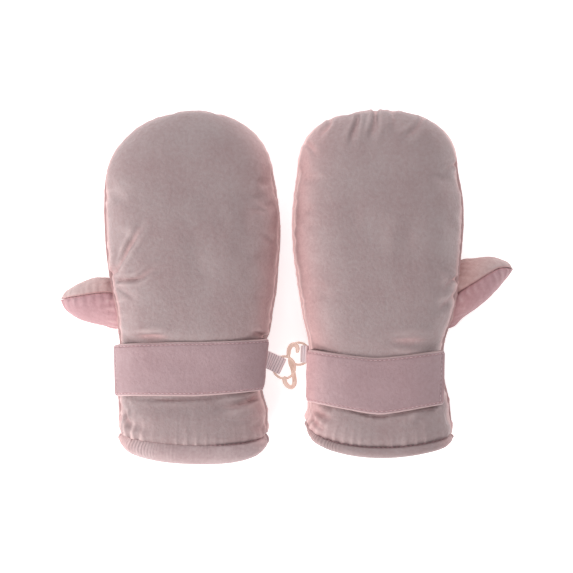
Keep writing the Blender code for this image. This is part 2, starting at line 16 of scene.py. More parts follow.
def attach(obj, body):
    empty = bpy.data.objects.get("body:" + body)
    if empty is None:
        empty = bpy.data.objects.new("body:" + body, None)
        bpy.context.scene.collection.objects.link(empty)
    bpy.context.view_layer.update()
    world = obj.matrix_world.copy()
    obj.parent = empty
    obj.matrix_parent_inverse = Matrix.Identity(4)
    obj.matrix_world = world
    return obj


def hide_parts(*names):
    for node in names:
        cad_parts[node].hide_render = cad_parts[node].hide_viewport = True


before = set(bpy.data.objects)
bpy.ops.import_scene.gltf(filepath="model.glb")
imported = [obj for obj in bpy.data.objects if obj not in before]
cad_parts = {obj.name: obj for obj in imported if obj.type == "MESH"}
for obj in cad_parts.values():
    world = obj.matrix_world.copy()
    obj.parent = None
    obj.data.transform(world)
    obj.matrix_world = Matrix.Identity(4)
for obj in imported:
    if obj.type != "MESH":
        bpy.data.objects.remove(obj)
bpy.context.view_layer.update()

MM = 0.001
SEED = 7

# The cloth, as in the solids
WALL = 4.0
THUMB_WALL = 2.8
SEAM_GAP = 0.3
BACK_SET_IN = 1.0
SEAM_PINCH = 1.1
PALM_LINE = 1.7  # the painted line of seam shade along the palm's side of the seam is thinner than on the back
PINCH_REACH = 0.16
ROUNDING_ALLOWANCE = 1.2
SLACK_ROUNDING = 0.3
BACK_SQUARENESS = 2.7
PALM_SQUARENESS = 2.2
PALM_SAG = 4.0
PALM_LEAN = 0.45
TIP_FULLNESS = 0.62
THUMB_HOLE_DEPTH = 3.0
THUMB_REACH = 20.0
STRAP_THICK = 2.0
STRAP_ROOT = 4.0
STRAP_BOW_ROUNDING = 0.14
TAB_WIDTH = 7.8
TAB_THICK = 1.0
TAB_FOLD = 1.4
TAB_TWIST = 4.0
RING_RADIUS = 5.1
RING_WIRE = 1.2
HOOK_WIRE = 2.2

# How the padding and the sewing shape the cloth
PUFF_SCALE = 10.0  # the cloth solver is steadier on a large panel than on one of a few centimetres
PUFF_FRAMES = 20
PUFF_MOST = 1.3
PUFF_GROWTH, PUFF_PRESSURE = 0.05, 3.0
SEAM_PUCKER = 0.5  # height of the puckers that the side seams draw
SEAM_PUCKER_REACH = 6.5  # how far from the seam they run out
SEAM_PUCKER_PITCH = 5.6
SEAM_PUCKER_START = 1.4  # they grow to their full height over this distance
TIP_CALM, TIP_CALM_FROM, TIP_CALM_TO = 0.7, 40.0, 66.0  # the side puckers grow fainter along the fingers
HEM_PUCKER = 0.32
HEM_PUCKER_REACH = 7.0
HEM_PUCKER_PITCH = 4.8
HEM_LINE_WIDTH, FINE_PUCKER_REACH, PANEL_END_REACH = 1.3, 1.5, 4.0
HEM_WAVE, HEM_GATHER, HEM_GATHER_PITCH = 0.06, 0.24, 1.5
FINE_PUCKER, FINE_PUCKER_PITCH = 0.22, 1.7
HEM_SIDE_TUCK = 1.1  # the band stands out less at its two ends
HEM_RISE = 0.9  # the stitches pull the hem this far up the back
FAR_AWAY = 9.0  # where no seam is near
CREASE_DEPTH = 1.4
CREASE_THIN, CREASE_SPREAD = 0.7, 0.6  # shares of its width: at its start, and gained by its end
RIDGE_AWAY, RIDGE_SHARE = 1.8, 0.5  # the ridges beside it: how many widths off, and how high for its depth
CREASE_POINTS = 12  # points of a crease's line for each one named
SEAM_RUN_IN, FREE_RUN_IN, RUN_OUT = 0.1, 0.45, 0.45  # shares of a crease: full depth from, and until
CRINKLE, CRINKLE_SIZES = 0.13, (9.0, 4.0)  # height and sizes of the faint waves all over the nylon
THUMB_PUCKER = 0.62
THUMB_PUCKER_PITCH = 4.0
ROOT_PUCKER = 0.5
SWELL, SWELL_SIZE = 0.5, 26.0  # broad unevenness of the wadding
PANEL_END_DROP = 0.26  # the back's lower edge rises less than the hem, which closes over it
HEM_WANDER, HEM_WANDER_PITCH = 0.16, 9.0
HEM_STEP = 0.55  # how far the band stands back where it isn't tucked in
LEFT_HEM_SLACK, LEFT_HEM_SLACK_REACH = 2.0, 16.0  # it hangs deeper this many degrees round the seam
HEM_STITCHES = (2.1, 1.3, 0.38)  # pitch, length and thickness
THUMB_TIP_REACH = 0.8
THUMB_SEAM_DEPTH = 0.55
THUMB_ROOT_ROW, THUMB_ROOT_PITCH, THUMB_ROOT_REACH = 12, 3.4, 3.2
THUMB_PINK = {"left": 0.3, "right": 0.9}  # how pink each thumb is where it leaves the hand
STITCH_PITCH, STITCH_LENGTH, STITCH_THICK = 2.0, 1.25, 0.24
STRAP_EDGE, STRAP_END_ROW = 1.4, 2.6  # how far the rows of stitches lie inside the strap's edges
STRAP_GROOVE, STRAP_GROOVE_WIDTH = 0.3, 0.42  # how deep and wide the stitches draw in its face
STRAP_SINK, STRAP_SINK_REACH = 3.3, 9.0  # how deep its sewn end goes into the seam, and from how far off
STRAP_CORNER, STRAP_CORNER_SINK = 5.0, 1.4  # the corners of that end go a little deeper
RIB_PITCH, RIB_HEIGHT = 1.25, 0.11

# Painted light and shade on the cloth, standing for light that comes through it, and the table's light
RIM_GLOW = {"left": 0.42, "right": 1.0}  # how brightly each one's inner side is painted to glow
PAINTED_GLOW_COLOUR = (0.42, 0.3, 0.29, 1.0)
SEAM_SHADE_RED = (0.4, 0.17, 0.175, 1.0)  # painted shade along the seams and rows of stitches, reddened as if the table's light glowed through the thin cloth there
SEAM_SHADE = 0.5  # how strong that red is
TABLE_GLOW = 0.55  # the table is lit from below, so the pair throws hardly any shadow
NO_LIGHT = (0.0, 0.0, 0.0, 1.0)

# The studio, in metres and watts: each light's place, power, size and colour
SKY, SKY_STRENGTH = (0.96, 0.985, 1.0, 1.0), 0.57
WARM = (1.0, 0.93, 0.91)
LIGHTS = {
    "left panel": ((-0.8, -0.2, 0.42), 5.7, 0.4, WARM),
    "right panel": ((0.75, 0.05, 0.3), 1.7, 0.5, WARM),
    "far panel": ((-0.1, 0.85, 0.42), 3.4, 0.4, (1.0, 0.97, 0.96)),
    "near panel": ((-0.35, -0.85, 0.4), 5.4, 0.5, WARM),
}
LENS, SENSOR = 400.0, 36.0  # a long lens from far off, so the view is nearly straight down everywhere
CAMERA_HEIGHT = 2.943

# How finely each piece is divided; the inner face of a wall has a quarter as many steps
BODY_ROWS, TIP_ROWS, COLUMNS = 128, 64, 132
COARSER = 4
LINE_STEP = 0.25
CLIP_VOXEL, CLIP_SMOOTHING = 0.16, 6
THUMB_ROWS, THUMB_COLUMNS = 56, 48
STRAP_STEPS = 150
HEM_STEPS = 720

# Each nylon's colour on top; its pinker colour on its sides, painted on as the light from the table and
# between the mittens, and also as pink shade in its creases; and the darker colour of its random mottling.
# Below them, the colour of the highlights painted on all their ridges
NYLONS = {
    "dusty pink padded nylon": ((0.31, 0.25, 0.252, 1), (0.56, 0.365, 0.365, 1), (0.2, 0.095, 0.1, 1)),
    # the left hem's copy of the nylon, painted lighter for the stronger light on the cuff
    "dusty pink nylon painted lighter": ((0.45, 0.355, 0.362, 1), (0.62, 0.42, 0.42, 1), (0.2, 0.095, 0.1, 1)),
    "pale peach thumb nylon": ((0.47, 0.37, 0.365, 1), (0.55, 0.34, 0.32, 1), (0.28, 0.12, 0.12, 1)),
    "rose thumb nylon": ((0.42, 0.26, 0.28, 1), (0.46, 0.25, 0.26, 1), (0.26, 0.12, 0.14, 1)),
    "pinker strap nylon": ((0.35, 0.247, 0.262, 1), (0.6, 0.37, 0.38, 1), (0.22, 0.12, 0.13, 1)),
}
PAINTED_RIDGE_HIGHLIGHT = (0.72, 0.55, 0.54, 1)

# Round the hem band: how far down it as a share of its depth, how far in from the hand's surface, and how
# much of the band's gathers it follows
HEM_PROFILE = (
    (0.0, 0.9, 0.3), (0.03, 0.2, 0.7), (0.12, -0.45, 1.0), (0.3, -0.85, 1.0), (0.5, -1.0, 1.0),
    (0.7, -0.85, 1.0), (0.86, -0.3, 1.0), (0.96, 0.6, 0.9), (1.0, 1.6, 0.7), (0.99, 2.6, 0.4),
    (0.93, 3.5, 0.2), (0.8, 4.2, 0.0), (0.5, 4.5, 0.0), (0.0, 4.4, 0.0), (-0.3, 4.3, 0.0),
)

Section = namedtuple("Section", "y left right crown seam bow tilt")
FingerEnd = namedtuple("FingerEnd", "x y squareness seam")
ThumbSection = namedtuple("ThumbSection", "finger_x finger_y wrist_x wrist_y thick middle seam")
Crease = namedtuple("Crease", "points width depth free", defaults=(False,))
Strap = namedtuple("Strap", "low high")
StrapEdge = namedtuple("StrapEdge", "end_angle end_y seam_y bow lift")
Hem = namedtuple("Hem", "side_depth crown_depth bulge first last slack line_end")
Tab = namedtuple("Tab", "x y heading root_slant upper fold lower")
Clip = namedtuple("Clip", "x y z tilt hook")
Mitten = namedtuple(
    "Mitten",
    "side thumb_sign sections finger_end thumb_seam thumb back_creases palm_creases strap hem tab clip",
)

LEFT_MITTEN = Mitten(
    side="left",
    thumb_sign=-1,
    sections=(
        Section(-66.5, -76.3, -8.9, 33.0, 14.0, 7.0, 0.0),
        Section(-56.0, -77.0, -8.9, 34.5, 14.0, 5.2, 0.0),
        Section(-50.4, -77.2, -10.5, 33.0, 14.0, 4.0, 0.0),
        Section(-43.0, -76.0, -12.1, 31.5, 14.2, 2.6, 0.0),
        Section(-33.8, -76.3, -11.9, 31.5, 14.5, 1.2, 0.0),
        Section(-26.9, -76.5, -10.5, 33.5, 15.0, 0.6, 0.0),
        Section(-21.4, -77.0, -8.0, 38.0, 15.6, 0.2, 0.0),
        Section(-11.7, -77.9, -6.3, 40.5, 16.8, 0.0, 0.0),
        Section(-1.6, -79.9, -4.7, 41.5, 17.5, 0.0, 0.0),
        Section(10.3, -82.0, -3.6, 42.0, 17.5, 0.0, 0.0),
        Section(21.4, -83.2, -2.9, 41.5, 17.5, 0.0, 0.0),
        Section(32.4, -83.6, -3.1, 40.5, 17.5, 0.0, 0.0),
        Section(43.5, -83.6, -4.7, 38.5, 17.5, 0.0, 0.0),
    ),
    finger_end=FingerEnd(-42.5, 79.7, 2.05, 15.0),
    thumb_seam=24.5,
    thumb=(
        ThumbSection(-74.0, 1.0, -73.0, -19.0, 19.0, 12.2, 0.5),
        ThumbSection(-80.2, 3.2, -77.9, -19.2, 20.5, 12.0, 0.46),
        ThumbSection(-84.4, 4.0, -83.0, -18.1, 20.0, 11.8, 0.4),
        ThumbSection(-89.4, 3.6, -89.4, -16.6, 18.5, 11.4, 0.33),
        ThumbSection(-94.9, 1.6, -95.4, -14.8, 16.0, 11.0, 0.3),
        ThumbSection(-99.1, -0.7, -99.5, -12.2, 12.5, 10.6, 0.3),
        ThumbSection(-101.8, -3.0, -101.8, -9.7, 7.5, 10.3, 0.3),
        ThumbSection(-103.4, -6.1, -103.4, -6.1, 0.0, 10.2, 0.3),
    ),
    back_creases=(
        Crease(((-81.5, 4.0), (-75.5, 12.5), (-70.6, 20.9), (-66.5, 26.5), (-62.5, 33.0)), 1.5, 1.15),
        Crease(((-80.5, 2.5), (-74.0, 2.8), (-67.9, 3.5), (-61.0, 7.6), (-54.5, 9.2)), 1.3, 0.95),
        Crease(((-81.0, 7.0), (-78.5, 13.0), (-77.5, 19.0)), 1.1, 0.8),
        Crease(((-79.5, 0.0), (-74.0, -3.5), (-70.0, -8.0)), 1.2, 0.4),
        Crease(((-73.0, -22.8), (-61.0, -23.4), (-50.0, -23.2)), 1.9, 1.5, True),
        Crease(((-7.5, -24.0), (-11.0, -22.6), (-17.0, -21.8)), 1.5, 1.1),
        Crease(((-11.3, -50.0), (-19.0, -53.1), (-29.2, -54.9), (-36.0, -55.2)), 1.5, 1.0),
        Crease(((-11.5, -58.0), (-20.0, -60.5), (-30.0, -61.5)), 1.7, 0.4),
        Crease(((-76.6, -53.5), (-73.8, -60.0), (-70.5, -67.5)), 1.2, 0.9, True),
        Crease(((-8.5, 33.0), (-13.0, 34.0), (-18.0, 33.0)), 1.5, 0.5),
        Crease(((-5.5, 20.0), (-10.0, 22.5), (-15.0, 23.0)), 1.4, 0.45),
        Crease(((-22.0, 50.0), (-17.0, 30.0), (-19.0, 8.0)), 5.0, 0.4, True),
        Crease(((-45.0, 30.0), (-38.0, 8.0), (-42.0, -12.0)), 6.0, 0.35, True),
        Crease(((-74.0, -51.2), (-60.0, -51.6), (-42.0, -51.2), (-24.0, -49.4)), 1.0, 0.85, True),
    ),
    palm_creases=(
        Crease(((-78.0, 4.0), (-66.0, 12.0), (-52.0, 16.0)), 2.4, 1.1),
        Crease(((-78.0, -12.0), (-64.0, -16.0), (-50.0, -15.0)), 2.2, 0.9),
        Crease(((-12.0, -40.0), (-24.0, -44.0), (-36.0, -43.0)), 2.6, 1.0),
        Crease(((-60.0, 62.0), (-47.0, 66.0), (-30.0, 63.0)), 4.0, 0.8),
    ),
    strap=Strap(
        low=StrapEdge(162.0, -50.4, -47.3, 1.5, 1.2),
        high=StrapEdge(172.5, -26.6, -23.5, 0.0, 1.3),
    ),
    hem=Hem(4.6, 7.8, 1.2, 95.0, 265.0, 0.27, 0.42),
    tab=Tab(
        x=-10.6,
        y=-32.8,
        heading=-25.3,
        root_slant=7.3,
        upper=((0.0, 14.0), (1.3, 13.6), (2.9, 12.4), (4.6, 11.0), (6.4, 10.5)),
        fold=(8.1, 8.8),
        lower=((6.4, 7.66), (4.8, 7.9), (3.8, 8.6), (2.7, 10.2), (1.3, 11.9), (0.0, 12.7)),
    ),
    clip=Clip(
        x=-1.1,
        y=-37.3,
        z=8.4,
        tilt=10.0,
        hook=(
            (0.8, -32.6, 8.1, 0.75), (0.95, -31.0, 8.9, 0.9), (1.2, -29.1, 9.4, 1.0),
            (2.0, -27.4, 9.5, 1.0), (3.5, -26.7, 9.2, 1.0), (4.8, -27.7, 8.4, 1.0),
            (5.1, -29.2, 7.2, 0.9), (4.8, -30.5, 5.8, 0.7),
        ),
    ),
)
RIGHT_MITTEN = Mitten(
    side="right",
    thumb_sign=1,
    sections=(
        Section(-63.7, 9.3, 76.2, 33.0, 14.0, 11.5, 3.2),
        Section(-56.0, 10.2, 75.5, 34.0, 14.0, 8.6, 1.8),
        Section(-50.4, 9.8, 74.6, 33.0, 14.0, 6.6, 1.0),
        Section(-43.0, 9.7, 72.8, 32.0, 14.2, 4.8, 0.6),
        Section(-34.7, 10.0, 72.1, 32.0, 14.5, 3.4, 0.3),
        Section(-28.3, 10.4, 72.1, 34.0, 14.9, 2.4, 0.0),
        Section(-22.8, 9.6, 73.2, 38.0, 15.4, 1.4, 0.0),
        Section(-14.5, 7.7, 76.0, 40.0, 16.5, 0.5, 0.0),
        Section(-6.2, 6.3, 77.8, 41.0, 17.5, 0.0, 0.0),
        Section(4.8, 4.7, 79.2, 42.0, 17.5, 0.0, 0.0),
        Section(16.8, 3.1, 80.4, 42.0, 17.5, 0.0, 0.0),
        Section(29.7, 2.6, 81.3, 41.0, 17.5, 0.0, 0.0),
        Section(39.8, 3.3, 81.0, 40.0, 17.5, 0.0, 0.0),
        Section(49.0, 4.5, 79.4, 38.5, 17.5, 0.0, 0.0),
    ),
    finger_end=FingerEnd(42.6, 79.8, 2.4, 15.0),
    thumb_seam=24.5,
    thumb=(
        ThumbSection(71.0, 9.5, 67.0, -18.5, 19.0, 12.2, 0.0),
        ThumbSection(80.3, 12.1, 75.3, -19.1, 21.0, 12.0, 0.02),
        ThumbSection(85.0, 12.8, 80.8, -14.6, 20.5, 11.8, 0.05),
        ThumbSection(90.0, 13.5, 86.3, -10.7, 19.5, 11.5, 0.14),
        ThumbSection(94.6, 13.6, 92.1, -6.2, 17.5, 11.2, 0.28),
        ThumbSection(98.3, 12.6, 96.9, -1.2, 14.5, 10.9, 0.42),
        ThumbSection(101.5, 10.9, 101.1, 4.1, 9.0, 10.6, 0.42),
        ThumbSection(103.7, 8.0, 103.7, 8.0, 0.0, 10.4, 0.42),
    ),
    back_creases=(
        Crease(((21.4, 76.5), (19.5, 72.5), (16.5, 69.2), (14.0, 65.0)), 1.2, 0.9),
        Crease(((33.0, 78.5), (32.4, 74.0), (30.3, 67.9), (29.5, 61.0)), 1.3, 0.8),
        Crease(((41.0, 81.0), (40.7, 77.0), (40.0, 71.5), (37.0, 63.0)), 1.5, 0.85),
        Crease(((62.5, 77.0), (61.0, 74.0), (57.5, 69.5), (49.6, 65.0)), 1.6, 0.7),
        Crease(((48.0, 81.0), (49.5, 73.0), (48.5, 66.0)), 2.0, 0.5),
        Crease(((9.0, 66.0), (12.5, 62.0), (14.5, 57.0)), 1.3, 0.6),
        Crease(((80.5, 57.5), (75.0, 55.0), (70.0, 51.5)), 1.3, 0.6),
        Crease(((80.0, 4.5), (75.0, 1.0), (70.5, -4.0)), 1.3, 0.8),
        Crease(((79.0, -3.0), (72.0, -9.5), (65.0, -12.5)), 1.5, 0.6),
        Crease(((42.0, -25.0), (57.0, -25.0), (71.0, -24.5)), 2.2, 1.0, True),
        Crease(((72.0, -53.0), (60.0, -55.8), (48.0, -58.5)), 1.5, 1.0),
        Crease(((68.0, -55.0), (61.0, -60.0), (58.0, -66.0)), 2.0, 0.5),
        Crease(((12.0, -56.5), (17.0, -59.5), (24.0, -60.5)), 1.4, 0.7),
        Crease(((11.0, -61.0), (16.0, -65.0), (19.5, -68.5)), 1.2, 0.6),
        Crease(((30.0, 52.0), (33.0, 30.0), (29.0, 6.0)), 6.0, 0.35, True),
        Crease(((60.0, 40.0), (57.0, 20.0), (61.0, -2.0)), 5.5, 0.35, True),
        Crease(((15.0, -53.4), (28.0, -56.0), (42.0, -58.9), (56.0, -56.2), (70.0, -53.4)), 1.0, 0.85, True),
    ),
    palm_creases=(
        Crease(((77.0, 6.0), (64.0, 13.0), (50.0, 14.0)), 2.4, 1.0),
        Crease(((76.0, -10.0), (62.0, -17.0), (48.0, -18.0)), 2.2, 1.0),
        Crease(((10.0, -38.0), (22.0, -43.0), (33.0, -44.0)), 2.6, 0.9),
        Crease(((28.0, 66.0), (43.0, 62.0), (60.0, 65.0)), 4.0, 0.8),
    ),
    strap=Strap(
        low=StrapEdge(36.0, -53.2, -52.4, 6.6, 1.0),
        high=StrapEdge(24.5, -28.9, -28.6, 4.2, 1.1),
    ),
    hem=Hem(3.0, 3.9, 0.9, 100.0, 262.0, 0.5, 0.8),
    tab=Tab(
        x=9.2,
        y=-31.1,
        heading=180.0,
        root_slant=3.0,
        upper=((0.0, 14.0), (1.3, 13.3), (1.8, 11.8), (1.6, 9.8), (1.0, 8.2), (0.5, 6.6)),
        fold=(0.9, 4.25),
        lower=(
            (-0.3, 2.6), (-1.8, 2.2), (-2.7, 2.9), (-2.8, 4.2), (-1.7, 5.8), (-0.7, 7.2), (-0.05, 8.8),
            (0.4, 10.5), (0.56, 11.8), (0.1, 12.7),
        ),
    ),
    clip=Clip(
        x=5.7,
        y=-31.0,
        z=5.0,
        tilt=16.0,
        hook=(
            (1.4, -33.7, 6.2, 0.75), (1.8, -35.4, 5.6, 0.95), (2.8, -38.0, 5.0, 1.0),
            (3.3, -40.6, 4.9, 1.0), (3.7, -43.1, 5.1, 1.0), (3.5, -45.2, 6.0, 1.0),
            (2.3, -46.4, 7.3, 1.0), (0.7, -45.9, 8.8, 1.0), (-0.5, -44.4, 10.2, 1.0),
            (-0.9, -42.8, 10.9, 1.0), (-0.6, -41.3, 11.0, 0.8),
        ),
    ),
)


def spline(values, places):
    """The values at fractional places in their list, on a smooth curve through them."""
    values = np.asarray(values, float)
    last = len(values) - 1
    start = np.clip(np.floor(places).astype(int), 0, last - 1)
    t = (places - start).reshape(-1, *[1] * (values.ndim - 1))
    a, b, c, d = (values[np.clip(start + k, 0, last)] for k in (-1, 0, 1, 2))
    return b + 0.5 * ((c - a) * t + (2 * a - 5 * b + 4 * c - d) * t**2 + (3 * b - a - 3 * c + d) * t**3)


def lengths(line):
    """How far along a line of points each one is."""
    steps = np.linalg.norm(np.diff(line, axis=0), axis=1)
    return np.concatenate([[0.0], np.cumsum(steps)])


def even_line(line, step):
    """Points a step apart on a line, and how far along it each one is."""
    line = np.asarray(line, float)
    far = lengths(line)
    places = np.linspace(0.0, far[-1], max(int(far[-1] / step), 2))
    points = np.stack([np.interp(places, far, line[:, k]) for k in range(line.shape[1])], axis=-1)
    return points, places


def near_line(grid, line):
    """For each point of a grid, how far it is from a line and how far along the line that is."""
    points, places = even_line(line, LINE_STEP)
    tree = kdtree.KDTree(len(points))
    for number, point in enumerate(points):
        tree.insert(point, number)
    tree.balance()
    found = [tree.find(point) for point in grid.reshape(-1, 3)]
    away = np.array([hit[2] for hit in found]).reshape(grid.shape[:-1])
    along = np.array([places[hit[1]] for hit in found]).reshape(grid.shape[:-1])
    return away, along


def uneven(along, step, seed):
    """A smooth wandering value between -1 and 1 along a line."""
    rng = np.random.default_rng(seed)
    knots = rng.uniform(-1, 1, int(np.max(along) / step) + 4)
    return spline(knots, np.ravel(along) / step).reshape(np.shape(along))


def puckers(along, pitch, seed):
    """Uneven waves along a seam: sharp between the stitches' pulls, and stronger in some places."""
    phase = 2 * math.pi * along / pitch + 2.2 * uneven(along, 3.1 * pitch, seed)
    strength = 0.55 + 0.45 * uneven(along, 1.9 * pitch, seed + 1)
    return np.sin(phase) * strength + 0.35 * np.sin(2.3 * phase + 1.0) * uneven(along, pitch, seed + 2)


def clouds(grid, size, seed):
    """Smooth noise over a grid of points, with features of the given size."""
    shift = Vector((seed * 13.7, seed * 5.1, seed * 9.3))
    values = [noise.noise(Vector(point) / size + shift) for point in grid.reshape(-1, 3)]
    return np.array(values).reshape(grid.shape[:-1])


def fade(value, start, end):
    """0 at start, 1 at end, smooth between."""
    t = np.clip((value - start) / (end - start), 0.0, 1.0)
    return t * t * (3 - 2 * t)


def normals(grid):
    """Which way a grid of points faces at each of them."""
    down = np.gradient(grid, axis=0)
    across = np.gradient(grid, axis=1)
    facing = np.cross(down, across)
    size = np.linalg.norm(facing, axis=-1, keepdims=True)
    return np.where(size > 1e-6, facing / np.maximum(size, 1e-6), (0.0, 1.0, 0.0))


def section_at(sections, y):
    """The hand's sections at each y, on a smooth curve through the given ones."""
    rows = np.array(sections)
    last = len(rows) - 1
    i = np.clip(np.searchsorted(rows[:, 0], y, side="right") - 1, 0, last - 1)
    before, start, end, after = (rows[np.clip(i + k, 0, last)] for k in (-1, 0, 1, 2))
    span = (end - start)[..., :1]
    t = np.clip((y[..., None] - start[..., :1]) / span, 0.0, 1.0)
    slope_start = (end - before) / np.maximum((end - before)[..., :1], span) * span
    slope_end = (after - start) / np.maximum((after - start)[..., :1], span) * span
    return (
        (2 * t**3 - 3 * t**2 + 1) * start
        + (t**3 - 2 * t**2 + t) * slope_start
        + (3 * t**2 - 2 * t**3) * end
        + (t**3 - t**2) * slope_end
    )


def hand_point(mitten, y, angle, inset=0.0, back=None):
    """Points of the hand's surface, moved in by inset.

    angle is in degrees round the section: 0 the right seam, 90 the crown, 180 the left seam, 270 the palm.
    """
    y, angle, inset = np.broadcast_arrays(*(np.asarray(v, float) for v in (y, np.radians(angle), inset)))
    before, first = (np.array(section) for section in mitten.sections[-2:])
    end = mitten.finger_end
    along = np.clip((y - first[0]) / (end.y - first[0] - inset), 0.0, 1.0)
    run_out = (end.y - first[0]) * along * (1 - along) ** 2 / (first[0] - before[0])
    run_out = (first - before) * (1, 1, 1, 1, 0, 0, 0) * run_out[..., None]
    rows = section_at(mitten.sections, np.minimum(y, first[0])) + run_out
    _, left, right, crown, seam, bow, tilt = np.moveaxis(rows, -1, 0)
    share = (1 - along**end.squareness) ** (1 / end.squareness)
    middle = (left + right) / 2
    middle = middle + (end.x - middle) * along**2
    half = ((right - left) / 2 - inset) * share
    seam = seam + (end.seam - seam) * along
    fullness = share**TIP_FULLNESS
    cosine, sine = np.cos(angle), np.sin(angle)
    on_back = sine >= 0 if back is None else np.full(sine.shape, back)
    exponent = 2 / np.where(on_back, BACK_SQUARENESS, PALM_SQUARENESS)
    across = np.sign(cosine) * np.abs(cosine) ** exponent
    up = np.abs(sine) ** exponent * np.where(on_back, 1.0, -1.0)
    firm = np.clip(half / WALL, 0.0, 1.0)
    pinch = SEAM_PINCH * np.exp(-np.abs(up) / PINCH_REACH)
    half = half + (ROUNDING_ALLOWANCE - pinch - BACK_SET_IN * on_back) * firm
    thumb_middle = (mitten.thumb[1].finger_y + mitten.thumb[1].wrist_y) / 2
    near_thumb = np.exp(-(((y - thumb_middle) / THUMB_REACH) ** 2))
    near_thumb = near_thumb * np.maximum(across * mitten.thumb_sign, 0.0)
    seam = seam + (mitten.thumb_seam - seam) * near_thumb
    height = np.where(on_back, crown - inset - seam, seam + PALM_SAG - inset)
    lean = bow * np.abs(up) * np.where(on_back, 1.0, PALM_LEAN)
    thumb_side = (across * mitten.thumb_sign + np.hypot(across, SLACK_ROUNDING)) / 2
    lean = lean * (1 - mitten.hem.slack * thumb_side)
    points = middle + half * across, y - lean - tilt * across, seam + height * fullness * up
    return np.stack(points, axis=-1)


def row_places(mitten, body_rows, tip_rows, inset):
    """Where the rows of a panel's grid lie along Y, closer together at the rounded tip."""
    first, last = mitten.sections[0].y, mitten.sections[-1].y
    rounding = mitten.finger_end.y - last - inset
    body = np.linspace(first, last, body_rows + 1)[:-1]
    return np.concatenate([body, last + rounding * np.sin(np.linspace(0, math.pi / 2, tip_rows + 1))])


def column_angles(mitten, columns, back):
    """Angles round the section that are the same distance apart on the cloth."""
    angles = np.linspace(0.0, 180.0, 1441) + (0.0 if back else 180.0)
    far = lengths(hand_point(mitten, 10.0, angles, back=back))
    return np.interp(np.linspace(0.0, far[-1], columns + 1), far, angles)


def skin(mitten, coarser, back, inset=0.0):
    """A grid of points over the back or the palm: a row of them for each place along the hand."""
    places = row_places(mitten, BODY_ROWS // coarser, TIP_ROWS // coarser, inset)
    angles = column_angles(mitten, COLUMNS // coarser, back)
    grid = hand_point(mitten, places[:, None], angles[None, :], inset, back)
    grid[..., 2] = np.maximum(grid[..., 2] + (SEAM_GAP / 2 if back else -SEAM_GAP / 2), inset)
    return grid


def added(name, data):
    """A new object in the scene."""
    obj = bpy.data.objects.new(name, data)
    bpy.context.scene.collection.objects.link(obj)
    return obj


def mesh_of(name, points, faces, edges=()):
    """A mesh whose points are given in millimetres."""
    mesh = bpy.data.meshes.new(name)
    mesh.from_pydata((np.reshape(points, (-1, 3)) * MM).tolist(), list(edges), faces)
    return mesh


def ring_faces(count, sides, closed=False):
    """Faces of a bar made of rings: its ends joined if closed, else a face over each of them."""
    number = np.arange(count * sides).reshape(count, sides)
    before, after = (number, np.roll(number, -1, 0)) if closed else (number[:-1], number[1:])
    quads = np.stack([before, np.roll(before, -1, 1), np.roll(after, -1, 1), after], axis=-1)
    return quads.reshape(-1, 4).tolist() + ([] if closed else [number[0].tolist(), number[-1].tolist()])


def panel_faces(rows, columns, tip):
    """Faces of a grid whose last row is the single vertex tip, or an ordinary row if tip is None."""
    number = np.arange(rows * columns).reshape(rows, columns)
    if tip is not None:
        number[-1] = tip
    low, high = number[:-1], number[1:]
    quads = np.stack([low[:, :-1], low[:, 1:], high[:, 1:], high[:, :-1]], axis=-1)
    if tip is None:
        return number, quads.reshape(-1, 4).tolist()
    return number, quads[:-1].reshape(-1, 4).tolist() + quads[-1][:, :3].tolist()


def puffed_by_padding(grid):
    """How far each point of a panel moves when the wadding pushes out cloth that is sewn down all round."""
    rows, columns = grid.shape[:2]
    number, faces = panel_faces(rows, columns, (rows - 1) * columns)
    start = grid.reshape(-1, 3)[: (rows - 1) * columns + 1] * PUFF_SCALE
    panel = added("panel to puff", mesh_of("panel to puff", start, [face[::-1] for face in faces]))
    sewn = panel.vertex_groups.new(name="sewn down")
    edge = {*number[0].tolist(), *number[:, 0].tolist(), *number[:, -1].tolist(), int(number[-1, 0])}
    sewn.add(sorted(edge), 1.0, "REPLACE")
    cloth = panel.modifiers.new("cloth", "CLOTH")
    cloth.settings.vertex_group_mass = sewn.name
    cloth.settings.quality = 6
    cloth.settings.mass = 0.3
    cloth.settings.bending_stiffness = 0.6
    cloth.settings.shrink_min = -PUFF_GROWTH
    cloth.settings.use_pressure = True
    cloth.settings.uniform_pressure_force = PUFF_PRESSURE
    cloth.settings.effector_weights.gravity = 0.0
    cloth.collision_settings.use_collision = False
    scene = bpy.context.scene
    for step in range(1, PUFF_FRAMES + 1):
        scene.frame_set(step)
    settled = panel.evaluated_get(bpy.context.evaluated_depsgraph_get()).data.vertices
    end = np.array([vertex.co[:] for vertex in settled])
    bpy.data.objects.remove(panel)
    scene.frame_set(1)
    moved = (end / MM - start) / PUFF_SCALE
    far = np.linalg.norm(moved, axis=-1, keepdims=True)
    moved *= PUFF_MOST * np.tanh(far / PUFF_MOST) / np.maximum(far, 1e-9)
    return moved[number]


def finer(values, rows, columns):
    """A coarse grid's values on a finer grid of that many rows and columns."""
    tall = spline(values, np.linspace(0, len(values) - 1, rows))
    wide = spline(tall.swapaxes(0, 1), np.linspace(0, values.shape[1] - 1, columns))
    return wide.swapaxes(0, 1)


def crease_height(grid, crease):
    """A soft trough along a crease with a low ridge on either side, running out at its free ends."""
    flat = grid * (1.0, 1.0, 0.0)
    count = CREASE_POINTS * len(crease.points)
    line = spline(crease.points, np.linspace(0, len(crease.points) - 1, count))
    away, along = near_line(flat, np.pad(line, ((0, 0), (0, 1))))
    whole = lengths(line)[-1]
    width = crease.width * (CREASE_THIN + CREASE_SPREAD * along / whole)
    start = FREE_RUN_IN if crease.free else SEAM_RUN_IN
    strength = fade(along, 0.0, start * whole) * (1 - fade(along, RUN_OUT * whole, whole))
    ridge = np.exp(-(((away - RIDGE_AWAY * width) / width) ** 2))
    trough = np.exp(-((away / width) ** 2))
    return CREASE_DEPTH * crease.depth * strength * (RIDGE_SHARE * ridge - trough)


